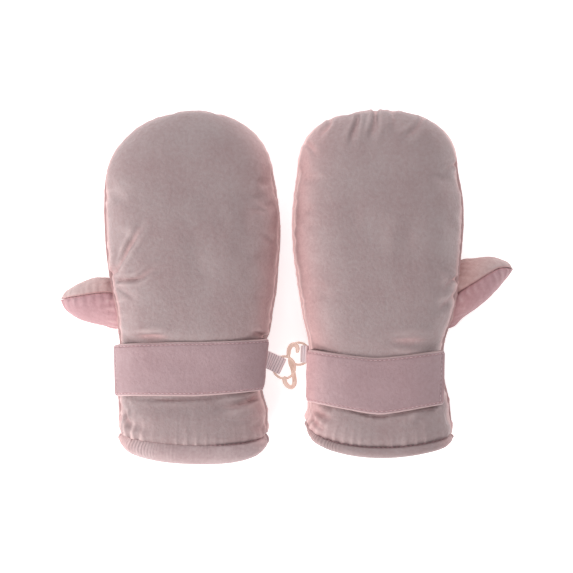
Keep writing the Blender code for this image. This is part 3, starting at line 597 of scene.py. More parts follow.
def panel_marks(mitten, back, seed, facing, places, waves):
    """A panel's marks, point by point: painted pink light and shade, nearness to a seam for the painted seam
    shade, painted highlights, and painted glow.
    """
    away, along, hem_away = places
    drawn, gathers, folded, fine, sewn = waves
    inner_side = np.clip(-facing[..., 0] * mitten.thumb_sign, 0.0, 1.0)
    # painted shade at the seams, and in dark dashes where the hem's stitches pull the cloth in
    dashes = 0.3 + hem_away * 1.1 + 1.2 * np.clip(0.4 + fine, 0.0, 1.0) + 2.0 * (1 - np.clip(sewn * 3, 0, 1))
    # painted pink shade in the troughs of the creases
    painted_fold_shade = 0.55 * np.clip(-folded - 0.35, 0.0, 1.2)
    # painted highlights on the puckers, gathers and crease ridges
    ridges = 1.4 * drawn + 0.9 * gathers + 0.8 * fine * sewn + 0.5 * np.clip(folded, 0, 1) - 0.1
    marks = {
        "painted_pink_light_and_shade": np.clip(painted_pink_light_and_shade(facing, -mitten.thumb_sign) + painted_fold_shade, 0.0, 1.0),
        "seam": np.minimum(away * (1.0 if back else PALM_LINE) + 0.8 * inner_side, dashes),
        "ridge": np.clip(ridges, 0.0, 1.0),
        # painted glow on the inner side near the seams
        "painted_glow": RIM_GLOW[mitten.side] * fade(inner_side, 0.35, 1.0) * (1 - fade(away, 2.0, 9.0)),
    }
    if back:
        # a painted highlight just inside the seam on the outer side
        outer_side = np.clip(facing[..., 0] * mitten.thumb_sign, 0.0, 1.0)
        lit = fade(away, 0.3, 0.9) * (1 - fade(away, 1.3, 2.8)) * fade(outer_side, 0.2, 0.8)
        marks["ridge"] = np.maximum(marks["ridge"], lit * (0.7 + 0.3 * uneven(along, 7.0, seed + 8)))
    else:
        # beside the palm's seam: a painted pale strip, painted pink and a painted glow, for the table's light
        # through the thin cloth
        strip = fade(away, 0.5, 1.0) * (1 - fade(away, 1.8, 4.0))
        marks["ridge"] = np.maximum(marks["ridge"], 0.9 * strip)
        marks["painted_pink_light_and_shade"] = np.maximum(marks["painted_pink_light_and_shade"], 0.9 * (1 - fade(away, 0.2, 0.9)))
        marks["painted_glow"] = np.maximum(marks["painted_glow"], 0.22 * (1 - fade(away, 1.5, 4.0)))
    return marks


def panel_grid(mitten, back):
    """The outer face of a padded panel, with its swell, creases and puckers, and its marks."""
    grid = skin(mitten, 1, back)
    rows, columns = grid.shape[:2]
    seed = SEED + 20 * (mitten.side == "right") + 10 * back
    moved = np.zeros_like(grid)
    moved = finer(puffed_by_padding(skin(mitten, COARSER, back)), rows, columns)
    facing = normals(grid)
    seam = np.concatenate([grid[:, 0], grid[::-1, -1]])
    away, along = near_line(grid, seam)
    drawn = puckers(along, SEAM_PUCKER_PITCH, seed) * np.exp(-away / SEAM_PUCKER_REACH)
    drawn *= fade(away, 0.0, SEAM_PUCKER_START)
    drawn *= 1 - TIP_CALM * fade(grid[..., 1], TIP_CALM_FROM, TIP_CALM_TO)
    hem_away, hem_along = near_line(grid, grid[0])
    hem_away = np.minimum(hem_away, grid[..., 1] - grid[0, :, 1])
    share = hem_along / np.max(hem_along) if back else 1 - hem_along / np.max(hem_along)
    gathers = puckers(hem_along, HEM_PUCKER_PITCH, seed + 3) * np.exp(-hem_away / HEM_PUCKER_REACH)
    gathers *= 0.6 + 1.1 * fade(share, 0.45, 0.9)
    height = SEAM_PUCKER * drawn + HEM_PUCKER * gathers
    height -= hem_line(mitten, share, back) * np.exp(-((hem_away / HEM_LINE_WIDTH) ** 2))
    creases = mitten.back_creases if back else mitten.palm_creases
    folded = sum(crease_height(grid, crease) for crease in creases)
    fine = puckers(hem_along, FINE_PUCKER_PITCH, seed + 6)
    sewn = np.exp(-((hem_away / FINE_PUCKER_REACH) ** 2))
    if back:
        sewn = sewn * fade(share, mitten.hem.line_end, mitten.hem.line_end + 0.1)
    height += folded + FINE_PUCKER * fine * sewn * fade(hem_away, 0.0, 0.6)
    large, small = CRINKLE_SIZES
    height += CRINKLE * (clouds(grid, large, seed) + 0.6 * clouds(grid, small, seed + 1))
    height += SWELL * clouds(grid, SWELL_SIZE, seed + 2) * fade(away, 2.0, 14.0)
    settled = grid + moved + facing * height[..., None]
    if back:
        settled[..., 1] += (HEM_RISE - PANEL_END_DROP) * np.exp(-((hem_away / PANEL_END_REACH) ** 2))
    settled[-1] = grid[-1]
    settled[..., 2] = np.maximum(settled[..., 2], 0.0)
    waves = drawn, gathers, folded, fine, sewn
    marks = panel_marks(mitten, back, seed, facing, (away, along, hem_away), waves)
    return settled, marks


def hem_line(mitten, share, back):
    """How deep the cloth is drawn in at the hem's stitches: a dark line first, then only puckers."""
    if not back:
        return 0.5
    return 0.08 + 0.8 * (1 - fade(share, mitten.hem.line_end - 0.08, mitten.hem.line_end + 0.08))


def bridge(fine, coarse):
    """Faces between a fine edge and a coarser one, both given as vertex numbers."""
    ratio = (len(fine) - 1) // (len(coarse) - 1)
    half = ratio // 2
    faces = []
    for k in range(len(coarse) - 1):
        run = fine[ratio * k : ratio * (k + 1) + 1]
        faces += [(run[i], run[i + 1], coarse[k] if i < half else coarse[k + 1]) for i in range(ratio)]
        faces.append((run[half], coarse[k + 1], coarse[k]))
    return faces


def unrolled(grid):
    """Where each point of a panel lay on the flat cloth it was cut from, in millimetres."""
    middle = grid.shape[1] // 2
    steps = np.linalg.norm(np.diff(grid, axis=1), axis=-1)
    across = np.concatenate([np.zeros((len(grid), 1)), np.cumsum(steps, axis=1)], axis=1)
    across = across - across[:, middle : middle + 1]
    down = np.repeat(lengths(grid[:, middle])[:, None], grid.shape[1], axis=1)
    return np.stack([across, down], axis=-1)


def painted_pink_light_and_shade(facing, inner_side=0):
    """Painted pink light and shade: the cloth is painted pinker as it rounds away, where the table's light
    reaches it, and most where the mittens face and light bounces between them.
    """
    steep = 1 - np.abs(facing[..., 2])
    inwards = np.clip(facing[..., 0] * inner_side, 0.0, 1.0)
    inner = 0.7 * fade(inwards, 0.3, 1.0) + 0.2 * fade(inwards, 0.02, 0.5)
    return np.maximum(0.75 * fade(steep, 0.5, 1.0), inner)


def wall(name, outer, inner, closed_end, marks):
    """A closed wall between a grid of outer points and a coarser grid of inner ones.

    marks has values for the outer grid: its painted pink light and shade, seam (how far the seam is, which
    sets the painted seam shade), ridge (how strongly a highlight is painted there) and at times its painted
    glow.
    """
    points, faces, numbers = [], [], []
    for grid in (outer, inner):
        rows, columns = grid.shape[:2]
        tip = (rows - 1) * columns if closed_end else None
        number, found = panel_faces(rows, columns, tip)
        kept = grid.reshape(-1, 3)[: tip + 1] if closed_end else grid.reshape(-1, 3)
        shift = sum(len(p) for p in points)
        points.append(kept)
        faces += [[v + shift for v in face] for face in found]
        numbers.append(number + shift)
    out, inn = numbers
    faces += bridge(out[:, 0].tolist(), inn[:, 0].tolist()) + bridge(out[:, -1].tolist(), inn[:, -1].tolist())
    faces += bridge(out[0].tolist(), inn[0].tolist())
    if not closed_end:
        faces += bridge(out[-1].tolist(), inn[-1].tolist())
    count = len(points[0]), len(points[1])
    flat = np.concatenate([unrolled(g).reshape(-1, 2)[:n] for g, n in zip((outer, inner), count)])
    whole = {}
    for mark, values in marks.items():
        rest = np.full(count[1], FAR_AWAY if mark == "seam" else 0.0)
        whole[mark] = np.concatenate([values.reshape(-1)[: count[0]], rest])
    return cloth_object(name, np.concatenate(points), faces, flat, whole)


def cloth_object(name, points, faces, flat, marks):
    """An object that knows its place on the flat cloth and carries a value of each mark at each point."""
    mesh = mesh_of(name, points, faces)
    for mark, values in marks.items():
        mesh.attributes.new(mark, "FLOAT", "POINT").data.foreach_set("value", values)
    corners = np.zeros(len(mesh.loops), int)
    mesh.loops.foreach_get("vertex_index", corners)
    mesh.uv_layers.new(name="cloth").data.foreach_set("uv", flat[corners].ravel())
    return smooth_object(name, mesh)


def smooth_object(name, mesh, sharp=62):
    """The mesh as an object, with its faces turned outwards and smooth but for its sharp edges."""
    shape = bmesh.new()
    shape.from_mesh(mesh)
    bmesh.ops.recalc_face_normals(shape, faces=shape.faces)
    shape.to_mesh(mesh)
    shape.free()
    mesh.shade_smooth()
    mesh.set_sharp_from_angle(angle=math.radians(sharp))
    return added(name, mesh)


def made_plain(obj):
    """The object with its modifiers worked into its mesh."""
    mesh = bpy.data.meshes.new_from_object(obj.evaluated_get(bpy.context.evaluated_depsgraph_get()))
    obj.modifiers.clear()
    obj.data = mesh
    return obj


def tube(name, line, radii, sides, closed=False):
    """A round bar along a line of points, with a radius for each."""
    points = np.asarray(line, float)
    count = len(points)
    along = np.roll(points, -1, 0) - np.roll(points, 1, 0) if closed else np.gradient(points, axis=0)
    along /= np.linalg.norm(along, axis=1, keepdims=True)
    side = np.cross(along[0], (0.3, 0.2, 0.9))
    rings = []
    for k in range(count):
        side = side - along[k] * np.dot(side, along[k])
        side /= np.linalg.norm(side)
        turn = np.linspace(0, 2 * math.pi, sides, endpoint=False)[:, None]
        rings.append(points[k] + radii[k] * (np.cos(turn) * side + np.sin(turn) * np.cross(along[k], side)))
    return smooth_object(name, mesh_of(name, rings, ring_faces(count, sides, closed)))


class Nodes:
    """Adds nodes to a tree, one method for every type."""

    def __init__(self, tree):
        self.tree = tree

    def node(self, kind, settings=None, sockets=None):
        """A node with its settings made first and then its sockets, by value or by link."""
        made = self.tree.nodes.new(kind)
        for name, value in (settings or {}).items():
            setattr(made, name, value)
        for name, value in (sockets or {}).items():
            target = made.inputs[name]
            if isinstance(value, Number):
                value = value.socket
            if isinstance(value, bpy.types.NodeSocket):
                self.tree.links.new(value, target)
            elif value is not None:
                target.default_value = value
        return made


class Number:
    """A number that varies over a surface. Python sums on it add Math nodes."""

    def __init__(self, nodes, socket):
        self.nodes = nodes
        self.socket = socket

    def sum(self, operation, *values):
        """The outcome of a Math node."""
        made = self.nodes.node("ShaderNodeMath", {"operation": operation}, dict(enumerate(values)))
        return Number(self.nodes, made.outputs[0])

    def __add__(self, other):
        return self.sum("ADD", self, other)

    def __sub__(self, other):
        return self.sum("SUBTRACT", self, other)

    def __mul__(self, other):
        return self.sum("MULTIPLY", self, other)

    def __rsub__(self, other):
        return self.sum("SUBTRACT", other, self)

    __radd__ = __add__
    __rmul__ = __mul__

    def wave(self):
        """Its sine, from -1 to 1."""
        return self.sum("SINE", self)

    def between(self, low, high):
        """0 below low and 1 above high."""
        sockets = {"Value": self, "From Min": low, "From Max": high}
        made = self.nodes.node("ShaderNodeMapRange", {"interpolation_type": "SMOOTHSTEP"}, sockets)
        return Number(self.nodes, made.outputs[0])


class Finish(Nodes):
    """A material under construction."""

    def __init__(self, name):
        self.material = bpy.data.materials.new(name)
        self.material.use_nodes = True
        super().__init__(self.material.node_tree)
        self.shader = self.tree.nodes["Principled BSDF"]
        self.place = self.node("ShaderNodeTexCoord").outputs["Object"]

    def attribute(self, name):
        """A mark's value at each point of the mesh."""
        return Number(self, self.node("ShaderNodeAttribute", {"attribute_name": name}).outputs["Fac"])

    def flat_cloth(self):
        """How far across and along the flat cloth, in millimetres."""
        uv = self.node("ShaderNodeUVMap", {"uv_map": "cloth"}).outputs[0]
        parts = self.node("ShaderNodeSeparateXYZ", None, {0: uv})
        return Number(self, parts.outputs[0]), Number(self, parts.outputs[1])

    def cloudy(self, size, detail=2.0):
        """Noise between 0 and 1 with features of that size in millimetres."""
        sockets = {"Vector": self.place, "Scale": 1 / (size * MM), "Detail": detail}
        return Number(self, self.node("ShaderNodeTexNoise", None, sockets).outputs["Fac"])

    def mixed(self, share, first, second):
        """A colour between two, where share is 0 for the first."""
        made = self.node("ShaderNodeMix", {"data_type": "RGBA"}, {0: share, 6: first, 7: second})
        return made.outputs[2]

    def raised(self, height, distance, strength=1.0):
        """A bump of the given height, 0 to 1, over a distance in millimetres."""
        sockets = {"Height": height, "Distance": distance * MM, "Strength": strength}
        return self.node("ShaderNodeBump", None, sockets).outputs[0]

    def done(self, **sockets):
        """Sets the shader's sockets, whose names are given with underscores."""
        for name, value in sockets.items():
            target = self.shader.inputs[name.replace("_", " ")]
            value = value.socket if isinstance(value, Number) else value
            if isinstance(value, bpy.types.NodeSocket):
                self.tree.links.new(value, target)
            else:
                target.default_value = value
        return self.material


def plain_weave(finish, pitch):
    """The height of a plain weave, thread over thread, 0 to 1."""
    across, along = finish.flat_cloth()
    turn = 2 * math.pi / pitch
    return (across * turn).wave() * (along * turn).wave() * 0.5 + 0.5


def padded_nylon(name, top, side, deep, pale):
    """Thin dusty pink nylon over wadding: greyer on top, with painted pink light where it turns down to the
    seams, painted shade at the seams, painted highlights and a painted glow.
    """
    finish = Finish(name)
    blotch = finish.cloudy(15.0, 3.0)
    crinkle = finish.cloudy(1.5, 5.0)
    fleck = finish.cloudy(0.55, 3.0)
    across, along = finish.flat_cloth()
    streaks = (across * 0.9 + blotch * 6.0).wave() * 0.5 + (along * 1.3 + crinkle * 5.0).wave() * 0.5
    weave = plain_weave(finish, 0.42)
    seam = finish.attribute("seam")
    # painted light and shade: pinker where the cloth rounds away, where the mittens face, and in the creases
    colour = finish.mixed(finish.attribute("painted_pink_light_and_shade"), top, side)
    shade = (blotch - 0.5) * 0.5 + (crinkle - 0.5) * 0.55 + (fleck - 0.5) * 0.25 + streaks * 0.015 + 0.2
    colour = finish.mixed(shade, colour, deep)
    # painted dark red shade along the seams and rows of stitches
    colour = finish.mixed((1 - seam.between(0.15, 1.0)) * SEAM_SHADE, colour, SEAM_SHADE_RED)
    # painted highlights on ridges, puckers and lit edges
    colour = finish.mixed(finish.attribute("ridge") * 0.55, colour, pale)
    height = crinkle * 1.3 + fleck * 0.35 + weave * 0.12 + streaks * 0.06
    return finish.done(
        Base_Color=colour,
        Roughness=blotch * 0.12 + crinkle * 0.14 + 0.42,
        Normal=finish.raised(height, 0.22, 1.0),
        Sheen_Weight=0.12,
        Sheen_Roughness=0.4,
        Sheen_Tint=(1.0, 0.82, 0.82, 1.0),
        Specular_IOR_Level=0.35,
        # painted glow: the cloth itself gives off light on the mittens' inner sides and beside the palm's
        # seams
        Emission_Color=finish.mixed(finish.attribute("painted_glow"), NO_LIGHT, PAINTED_GLOW_COLOUR),
        Emission_Strength=1.0,
    )


def ribbed_ribbon(name):
    """Ribbon with raised ribs from edge to edge, with painted shade in the valleys."""
    finish = Finish(name)
    _, along = finish.flat_cloth()
    rib = ((along * (2 * math.pi / RIB_PITCH)).wave() * 0.5 + 0.5).between(0.02, 0.4)
    grain = finish.cloudy(0.35, 2.0)
    # painted shade: darker in the valleys between the ribs
    colour = finish.mixed(rib, (0.5, 0.41, 0.44, 1.0), (0.92, 0.82, 0.84, 1.0))
    colour = finish.mixed(grain * 0.25, colour, (0.9, 0.8, 0.82, 1.0))
    return finish.done(
        Base_Color=colour,
        Roughness=grain * 0.15 + 0.6,
        Normal=finish.raised(grain, 0.05, 0.8),
        Sheen_Weight=0.2,
    )


def thread(name, colour):
    """Sewing thread with its twist."""
    finish = Finish(name)
    twist = finish.cloudy(0.3, 2.0)
    lighter = tuple(min(value * 1.35, 1.0) for value in colour[:3]) + (1.0,)
    return finish.done(
        Base_Color=finish.mixed(twist, colour, lighter),
        Roughness=twist * 0.2 + 0.5,
        Normal=finish.raised(twist, 0.05, 0.6),
    )


def clear_plastic(name):
    """Pale peach moulded plastic that lets some light through, with a faint painted glow."""
    finish = Finish(name)
    flow = finish.cloudy(3.5, 2.0)
    scuff = finish.cloudy(0.5, 3.0)
    colour = finish.mixed(flow, (0.78, 0.57, 0.48, 1.0), (0.95, 0.82, 0.74, 1.0))
    return finish.done(
        Base_Color=colour,
        Roughness=scuff * 0.16 + 0.14,
        Normal=finish.raised(scuff, 0.02, 0.5),
        Transmission_Weight=0.35,
        IOR=1.49,
        Coat_Weight=0.25,
        # painted glow: the plastic gives off a little light of its own, as if lit through from the table
        Emission_Color=(1.0, 0.8, 0.69, 1.0),
        Emission_Strength=0.1,
    )


def table_top(name):
    """The matt white light table under the pair."""
    finish = Finish(name)
    grain = finish.cloudy(4.0, 2.0)
    colour = finish.mixed(grain, (0.9, 0.9, 0.9, 1.0), (0.92, 0.92, 0.92, 1.0))
    return finish.done(
        Base_Color=colour,
        Roughness=grain * 0.1 + 0.8,
        Specular_IOR_Level=0.1,
        Emission_Color=(1.0, 1.0, 1.0, 1.0),
        Emission_Strength=TABLE_GLOW,
    )


def stitch_tree():
    """A node tree that turns a line of points into a row of stitches."""
    tree = bpy.data.node_groups.new("row of stitches", "GeometryNodeTree")
    made = Nodes(tree)
    face = tree.interface
    face.new_socket("Line", in_out="INPUT", socket_type="NodeSocketGeometry")
    for name, value in (("Pitch", STITCH_PITCH), ("Length", STITCH_LENGTH), ("Thickness", STITCH_THICK)):
        face.new_socket(name, in_out="INPUT", socket_type="NodeSocketFloat").default_value = value * MM
    face.new_socket("Seed", in_out="INPUT", socket_type="NodeSocketInt").default_value = SEED
    face.new_socket("Thread", in_out="INPUT", socket_type="NodeSocketMaterial")
    face.new_socket("Stitches", in_out="OUTPUT", socket_type="NodeSocketGeometry")
    given = made.node("NodeGroupInput").outputs
    curve = made.node("GeometryNodeMeshToCurve", None, {0: given["Line"]}).outputs[0]
    sockets = {"Curve": curve, "Length": given["Pitch"]}
    spaced = made.node("GeometryNodeResampleCurve", {"mode": "LENGTH"}, sockets).outputs[0]
    ball = made.node("GeometryNodeMeshUVSphere", None, {"Segments": 8, "Rings": 6, "Radius": 0.5}).outputs[0]
    tangent = made.node("GeometryNodeInputTangent").outputs[0]
    turned = made.node("FunctionNodeAlignRotationToVector", {"axis": "X"}, {"Vector": tangent}).outputs[0]
    sockets = {"Min": 0.9, "Max": 1.08, "Seed": given["Seed"]}
    varied = made.node("FunctionNodeRandomValue", {"data_type": "FLOAT"}, None)
    for socket in (item for item in varied.inputs if item.enabled and item.name in sockets):
        value = sockets[socket.name]
        if isinstance(value, bpy.types.NodeSocket):
            tree.links.new(value, socket)
        else:
            socket.default_value = value
    jitter = next(socket for socket in varied.outputs if socket.enabled)
    sockets = {"X": given["Length"], "Y": given["Thickness"], "Z": given["Thickness"]}
    sockets = {"Vector": made.node("ShaderNodeCombineXYZ", None, sockets).outputs[0], "Scale": jitter}
    scaled = made.node("ShaderNodeVectorMath", {"operation": "SCALE"}, sockets).outputs[0]
    sockets = {"Points": spaced, "Instance": ball, "Rotation": turned, "Scale": scaled}
    placed = made.node("GeometryNodeInstanceOnPoints", None, sockets).outputs[0]
    whole = made.node("GeometryNodeRealizeInstances", None, {0: placed}).outputs[0]
    shaded = made.node("GeometryNodeSetShadeSmooth", None, {0: whole}).outputs[0]
    sockets = {"Geometry": shaded, "Material": given["Thread"]}
    sewn = made.node("GeometryNodeSetMaterial", None, sockets).outputs[0]
    made.node("NodeGroupOutput", None, {0: sewn})
    return tree


def stitches(name, lines, material, pitch=STITCH_PITCH, length=STITCH_LENGTH, thickness=STITCH_THICK):
    """Rows of stitches along lines of points, as one object."""
    points, edges = [], []
    for line in lines:
        first = sum(len(p) for p in points)
        points.append(np.asarray(line, float))
        edges += [(first + k, first + k + 1) for k in range(len(line) - 1)]
    obj = added(name, mesh_of(name, np.concatenate(points), [], edges))
    rows = obj.modifiers.new("stitches", "NODES")
    rows.node_group = STITCHES
    wanted = {"Pitch": pitch * MM, "Length": length * MM, "Thickness": thickness * MM, "Thread": material}
    for item in STITCHES.interface.items_tree:
        if item.in_out == "INPUT" and item.name in wanted:
            rows[item.identifier] = wanted[item.name]
    return made_plain(obj)


def settle(piece, node, material=None):
    """Hands a finished piece to the frame in place of its solid."""
    if material is not None:
        piece.data.materials.clear()
        piece.data.materials.append(material)
    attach(piece, "root")
    if node:
        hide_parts(node)
    return piece


def thumb_rows(mitten, steps):
    """The thumb's sections at even steps from its root to its tip."""
    rows = spline(mitten.thumb, np.linspace(0, len(mitten.thumb) - 1, steps + 1))
    rows[:, [0, 2]] += mitten.thumb_sign * THUMB_TIP_REACH * np.linspace(0, 1, steps + 1)[:, None] ** 4
    return rows


def thumb_point(rows, angle, inset):
    """Points of the thumb's surface. Angle 0 is its edge towards the fingers and 90 its top."""
    finger, wrist = rows[..., 0:2], rows[..., 2:4]
    half = (finger - wrist) / 2
    size = np.maximum(np.linalg.norm(half, axis=-1, keepdims=True), 1e-6)
    reach = half / size * np.maximum(size - inset, 0.0)
    flat = (finger + wrist) / 2 + reach * np.cos(angle)[..., None]
    up = rows[..., 5] + np.maximum(rows[..., 4] / 2 - inset[..., 0], 0.0) * np.sin(angle)
    return np.concatenate([flat, up[..., None]], axis=-1)


def thumb_half(mitten, finger_side, steps, columns, inset):
    """A grid of points over one half of the thumb. Its inner wall is drawn back from the tip."""
    rows = thumb_rows(mitten, steps)
    top_seam = np.arccos(np.clip(rows[:, 6], -1, 1))
    start, end = (-top_seam, top_seam) if finger_side else (top_seam, 2 * math.pi - top_seam)
    across = np.linspace(0.0, 1.0, columns + 1)
    angle = start[:, None] + (end - start)[:, None] * across[None, :]
    wide = np.repeat(rows[:, None], columns + 1, axis=1)
    grid = thumb_point(wide, angle, np.full(angle.shape + (1,), inset))
    back = rows[0, 0:2] - rows[-1, 0:2]
    share = np.linspace(0.0, 1.0, steps + 1)[:, None] ** 2
    grid[..., 0:2] += (back / np.linalg.norm(back) * inset) * share[..., None]
    grid[..., 1] += SEAM_GAP / 2 if finger_side else -SEAM_GAP / 2
    return grid


def make_thumb(mitten, material):
    """The two halves of the thumb, puckered along the seams that join them."""
    for finger_side, name in ((True, "thumb_finger_half"), (False, "thumb_wrist_half")):
        seed = SEED + 40 + 10 * finger_side + 20 * (mitten.side == "right")
        grid = thumb_half(mitten, finger_side, THUMB_ROWS, THUMB_COLUMNS, 0.0)
        facing = normals(grid)
        seam_away = np.full(grid.shape[:2], FAR_AWAY)
        facing *= np.sign(np.sum(facing * (grid - grid.mean(axis=(0, 1))), axis=-1, keepdims=True) + 1e-9)
        height = np.zeros(grid.shape[:2])
        for column in (0, -1):
            away, along = near_line(grid, grid[:, column])
            strength = THUMB_PUCKER * (0.55 if finger_side else 1.0)
            waves = puckers(along, THUMB_PUCKER_PITCH, seed + column)
            height += strength * waves * np.exp(-away / 3.6) * fade(away, 0.0, 1.0)
            height -= THUMB_SEAM_DEPTH * np.exp(-(away**2))
            seam_away = np.minimum(seam_away, away)
        away, along = near_line(grid, grid[THUMB_ROOT_ROW])
        root = np.exp(-((away / THUMB_ROOT_REACH) ** 2))
        height += ROOT_PUCKER * puckers(along, THUMB_ROOT_PITCH, seed + 5) * root
        height += 0.25 * clouds(grid, 7.0, seed) + 0.1 * clouds(grid, 3.0, seed + 1)
        height *= 1 - fade(np.linspace(0, 1, len(grid)), 0.86, 1.0)[:, None]
        shaped = grid + facing * height[..., None]
        shaped[..., 2] = np.maximum(shaped[..., 2], 0.3)
        inner = thumb_half(mitten, finger_side, THUMB_ROWS // COARSER, THUMB_COLUMNS // COARSER, THUMB_WALL)
        node = f"{name}_{mitten.side}"
        # pinker towards the root, with painted pink light where it rounds away, painted seam shade and
        # painted highlights on the puckers
        near_root = 1 - fade(np.linspace(0, 1, len(grid)), 0.2, 0.75)[:, None]
        pink = np.maximum(painted_pink_light_and_shade(facing), THUMB_PINK[mitten.side] * near_root)
        marks = {"painted_pink_light_and_shade": pink, "seam": seam_away, "ridge": np.clip(1.2 * height - 0.1, 0.0, 1.0)}
        piece = wall(f"{node}_cloth", shaped, inner, True, marks)
        settle(piece, node, material[finger_side])


def thumb_hole(mitten):
    """The thumb's whole form, a seam's gap larger, to cut its hole in the hand."""
    rows = thumb_rows(mitten, THUMB_ROWS)[:-2]
    root = rows[0].copy()
    root[[0, 2]] -= THUMB_HOLE_DEPTH * mitten.thumb_sign
    rows = np.concatenate([[root], rows])
    sides = 48
    angle = np.linspace(0, 2 * math.pi, sides, endpoint=False)
    wide = np.repeat(rows[:, None], sides, axis=1)
    turned = np.repeat(angle[None, :], len(rows), axis=0)
    rings = thumb_point(wide, turned, np.full((len(rows), sides, 1), -SEAM_GAP))
    return smooth_object("thumb hole", mesh_of("thumb hole", rings, ring_faces(len(rows), sides)))


def make_panels(mitten, material):
    """The back and the palm of the hand."""
    hole = thumb_hole(mitten)
    for back, name in ((True, "back"), (False, "palm")):
        outer, marks = panel_grid(mitten, back)
        inner = skin(mitten, COARSER, back, WALL)
        node = f"{name}_{mitten.side}"
        piece = wall(f"{node}_cloth", outer, inner, True, marks)
        cut = piece.modifiers.new("thumb hole", "BOOLEAN")
        cut.operation, cut.object, cut.solver = "DIFFERENCE", hole, "MANIFOLD"
        made_plain(piece)
        settle(piece, node, material)
    bpy.data.objects.remove(hole)


def hem_ring(mitten, place, angle, waves, tuck=1.0):
    """One line of points right round the band. tuck is how deep its upper edge turns in at the stitches."""
    down, inset, follow = place
    if follow and down < 0.1:
        inset = 0.1 + (inset - 0.1) * tuck
    if follow:
        inset = inset + HEM_SIDE_TUCK * fade(np.abs(np.cos(np.radians(angle))), 0.8, 1.0)
        step = HEM_STEP * math.exp(-((down / 0.28) ** 2)) * (down > 0.1)
        inset = inset + step * (1 - np.minimum(tuck, 1.0))
    hem, start = mitten.hem, mitten.sections[0]
    depth = hem.side_depth + (hem.crown_depth - hem.side_depth) * np.maximum(np.sin(np.radians(angle)), 0.0)
    if mitten.side == "left":
        from_seam = np.minimum(angle, 360 - angle) / LEFT_HEM_SLACK_REACH
        depth = depth + LEFT_HEM_SLACK * np.exp(-(from_seam**2))
    out = hem.bulge * math.sin(math.pi * down) * 0.5 + waves * follow
    grid = hand_point(mitten, start.y, angle, inset - out)
    rise = HEM_RISE * fade(np.sin(np.radians(angle)), 0.0, 0.3)
    grid[..., 1] += rise * (1 - max(down, 0.0)) - SEAM_GAP - depth * down
    grid[..., 2] = np.maximum(grid[..., 2], 0.0 if follow else inset)
    return grid


def make_hem(mitten, material, sewing):
    """The gathered band round the open cuff, with the row of stitches that holds it."""
    angle = np.linspace(0, 360, HEM_STEPS, endpoint=False)
    hem = mitten.hem
    along = lengths(hem_ring(mitten, (0.0, 0.0, 0.0), angle, 0.0))
    seed = SEED + 70 + 20 * (mitten.side == "right")
    gathered = fade(angle, hem.first, hem.first + 50) * (1 - fade(angle, hem.last - 12, hem.last))
    fine = puckers(along, HEM_GATHER_PITCH, seed)
    waves = fine * (HEM_WAVE + HEM_GATHER * gathered) + HEM_WANDER * uneven(along, HEM_WANDER_PITCH, seed + 4)
    waves *= fade(np.minimum(angle, 360 - angle), 0, 8)
    tuck = np.where(angle <= 180, hem_line(mitten, angle / 180, True), 0.6)
    rings = np.stack([hem_ring(mitten, place, angle, waves, tuck) for place in HEM_PROFILE], axis=1)
    count, around = rings.shape[:2]
    down = lengths(rings[0])
    flat = np.stack(np.broadcast_arrays(along[:, None], down[None, :]), axis=-1).reshape(-1, 2)
    # painted pink light where the band rounds away at its ends, painted shade along its upper edge at the
    # stitches, and painted highlights on its gathers
    pink = 0.05 + 0.6 * fade(np.abs(np.cos(np.radians(angle))), 0.6, 1.0)
    ridge = np.clip(1.2 * fine * gathered, 0.0, 1.0)[:, None] * (1 - fade(down, 2.5, 5.0))[None, :]
    marks = {
        "painted_pink_light_and_shade": np.repeat(pink, around),
        "seam": (down / np.maximum(tuck[:, None], 0.2)).ravel(),
        "ridge": ridge.ravel(),
    }
    node = f"hem_{mitten.side}"
    piece = cloth_object(f"{node}_cloth", rings, ring_faces(count, around, closed=True), flat, marks)
    settle(piece, node, material)
    hidden = np.where(angle <= 180, 1 + 3 * fade(angle / 180, hem.line_end, hem.line_end + 0.1), 1.0)
    line = hem_ring(mitten, (0.0, 0.25, 0.6), angle, waves, hidden)
    line[:, 1] += 0.15
    line[:, 2] = np.maximum(line[:, 2], 0.3)
    back = angle <= 180
    rows = stitches(f"{node}_stitches", [line[back], line[~back]], sewing, *HEM_STITCHES)
    settle(rows, None)


def surface_at(mitten, y, angle, inset):
    """The surface points at angles that lie at Y y once the section's lean is counted."""
    place = np.array(y, float)
    for _ in range(6):
        place = place + y - hand_point(mitten, place, angle, inset)[..., 1]
    return hand_point(mitten, place, angle, inset)


def strap_point(mitten, along, across, lift):
    """along runs from the free end to the inner seam, across from the lower edge to the upper one."""
    along, across, lift = np.broadcast_arrays(along, across, lift)
    root_angle = STRAP_ROOT if mitten.thumb_sign < 0 else 180 - STRAP_ROOT
    points = []
    for edge in mitten.strap:
        angle = edge.end_angle + (root_angle - edge.end_angle) * along
        sideways = np.abs(np.cos(np.radians(angle))) ** (2 / BACK_SQUARENESS)
        dip = edge.bow * (1 - np.hypot(sideways, STRAP_BOW_ROUNDING))
        y = edge.end_y + (edge.seam_y - edge.end_y) * along - dip
        points.append(surface_at(mitten, y, angle, -(SEAM_GAP + edge.lift + lift)))
    return points[0] + (points[1] - points[0]) * across[..., None]


def strap_places(mitten):
    """Places along and across the strap, closer together at its edges, and its length and width."""
    middle = strap_point(mitten, np.linspace(0, 1, 200), 0.5, 0.0)
    length = lengths(middle)[-1]
    width = np.linalg.norm(strap_point(mitten, 0.5, 1.0, 0.0) - strap_point(mitten, 0.5, 0.0, 0.0))
    close = np.array([0.0, 0.08, 0.2, 0.4, 0.65, 0.9, 1.15, 1.4, 1.65, 1.95, 2.3, 2.6, 2.9, 3.3])
    across = np.concatenate([close, np.linspace(4.0, width - 4.0, 22), width - close[::-1]]) / width
    even = np.linspace(4.0, length - 4.0, STRAP_STEPS)
    along = np.concatenate([close, even, length - close[::-1]]) / length
    even = np.linspace(0, 1, 400)
    far = lengths(strap_point(mitten, even, 0.5, 0.0)) / length
    return np.interp(along, far, even), across, along * length, across * width, length, width


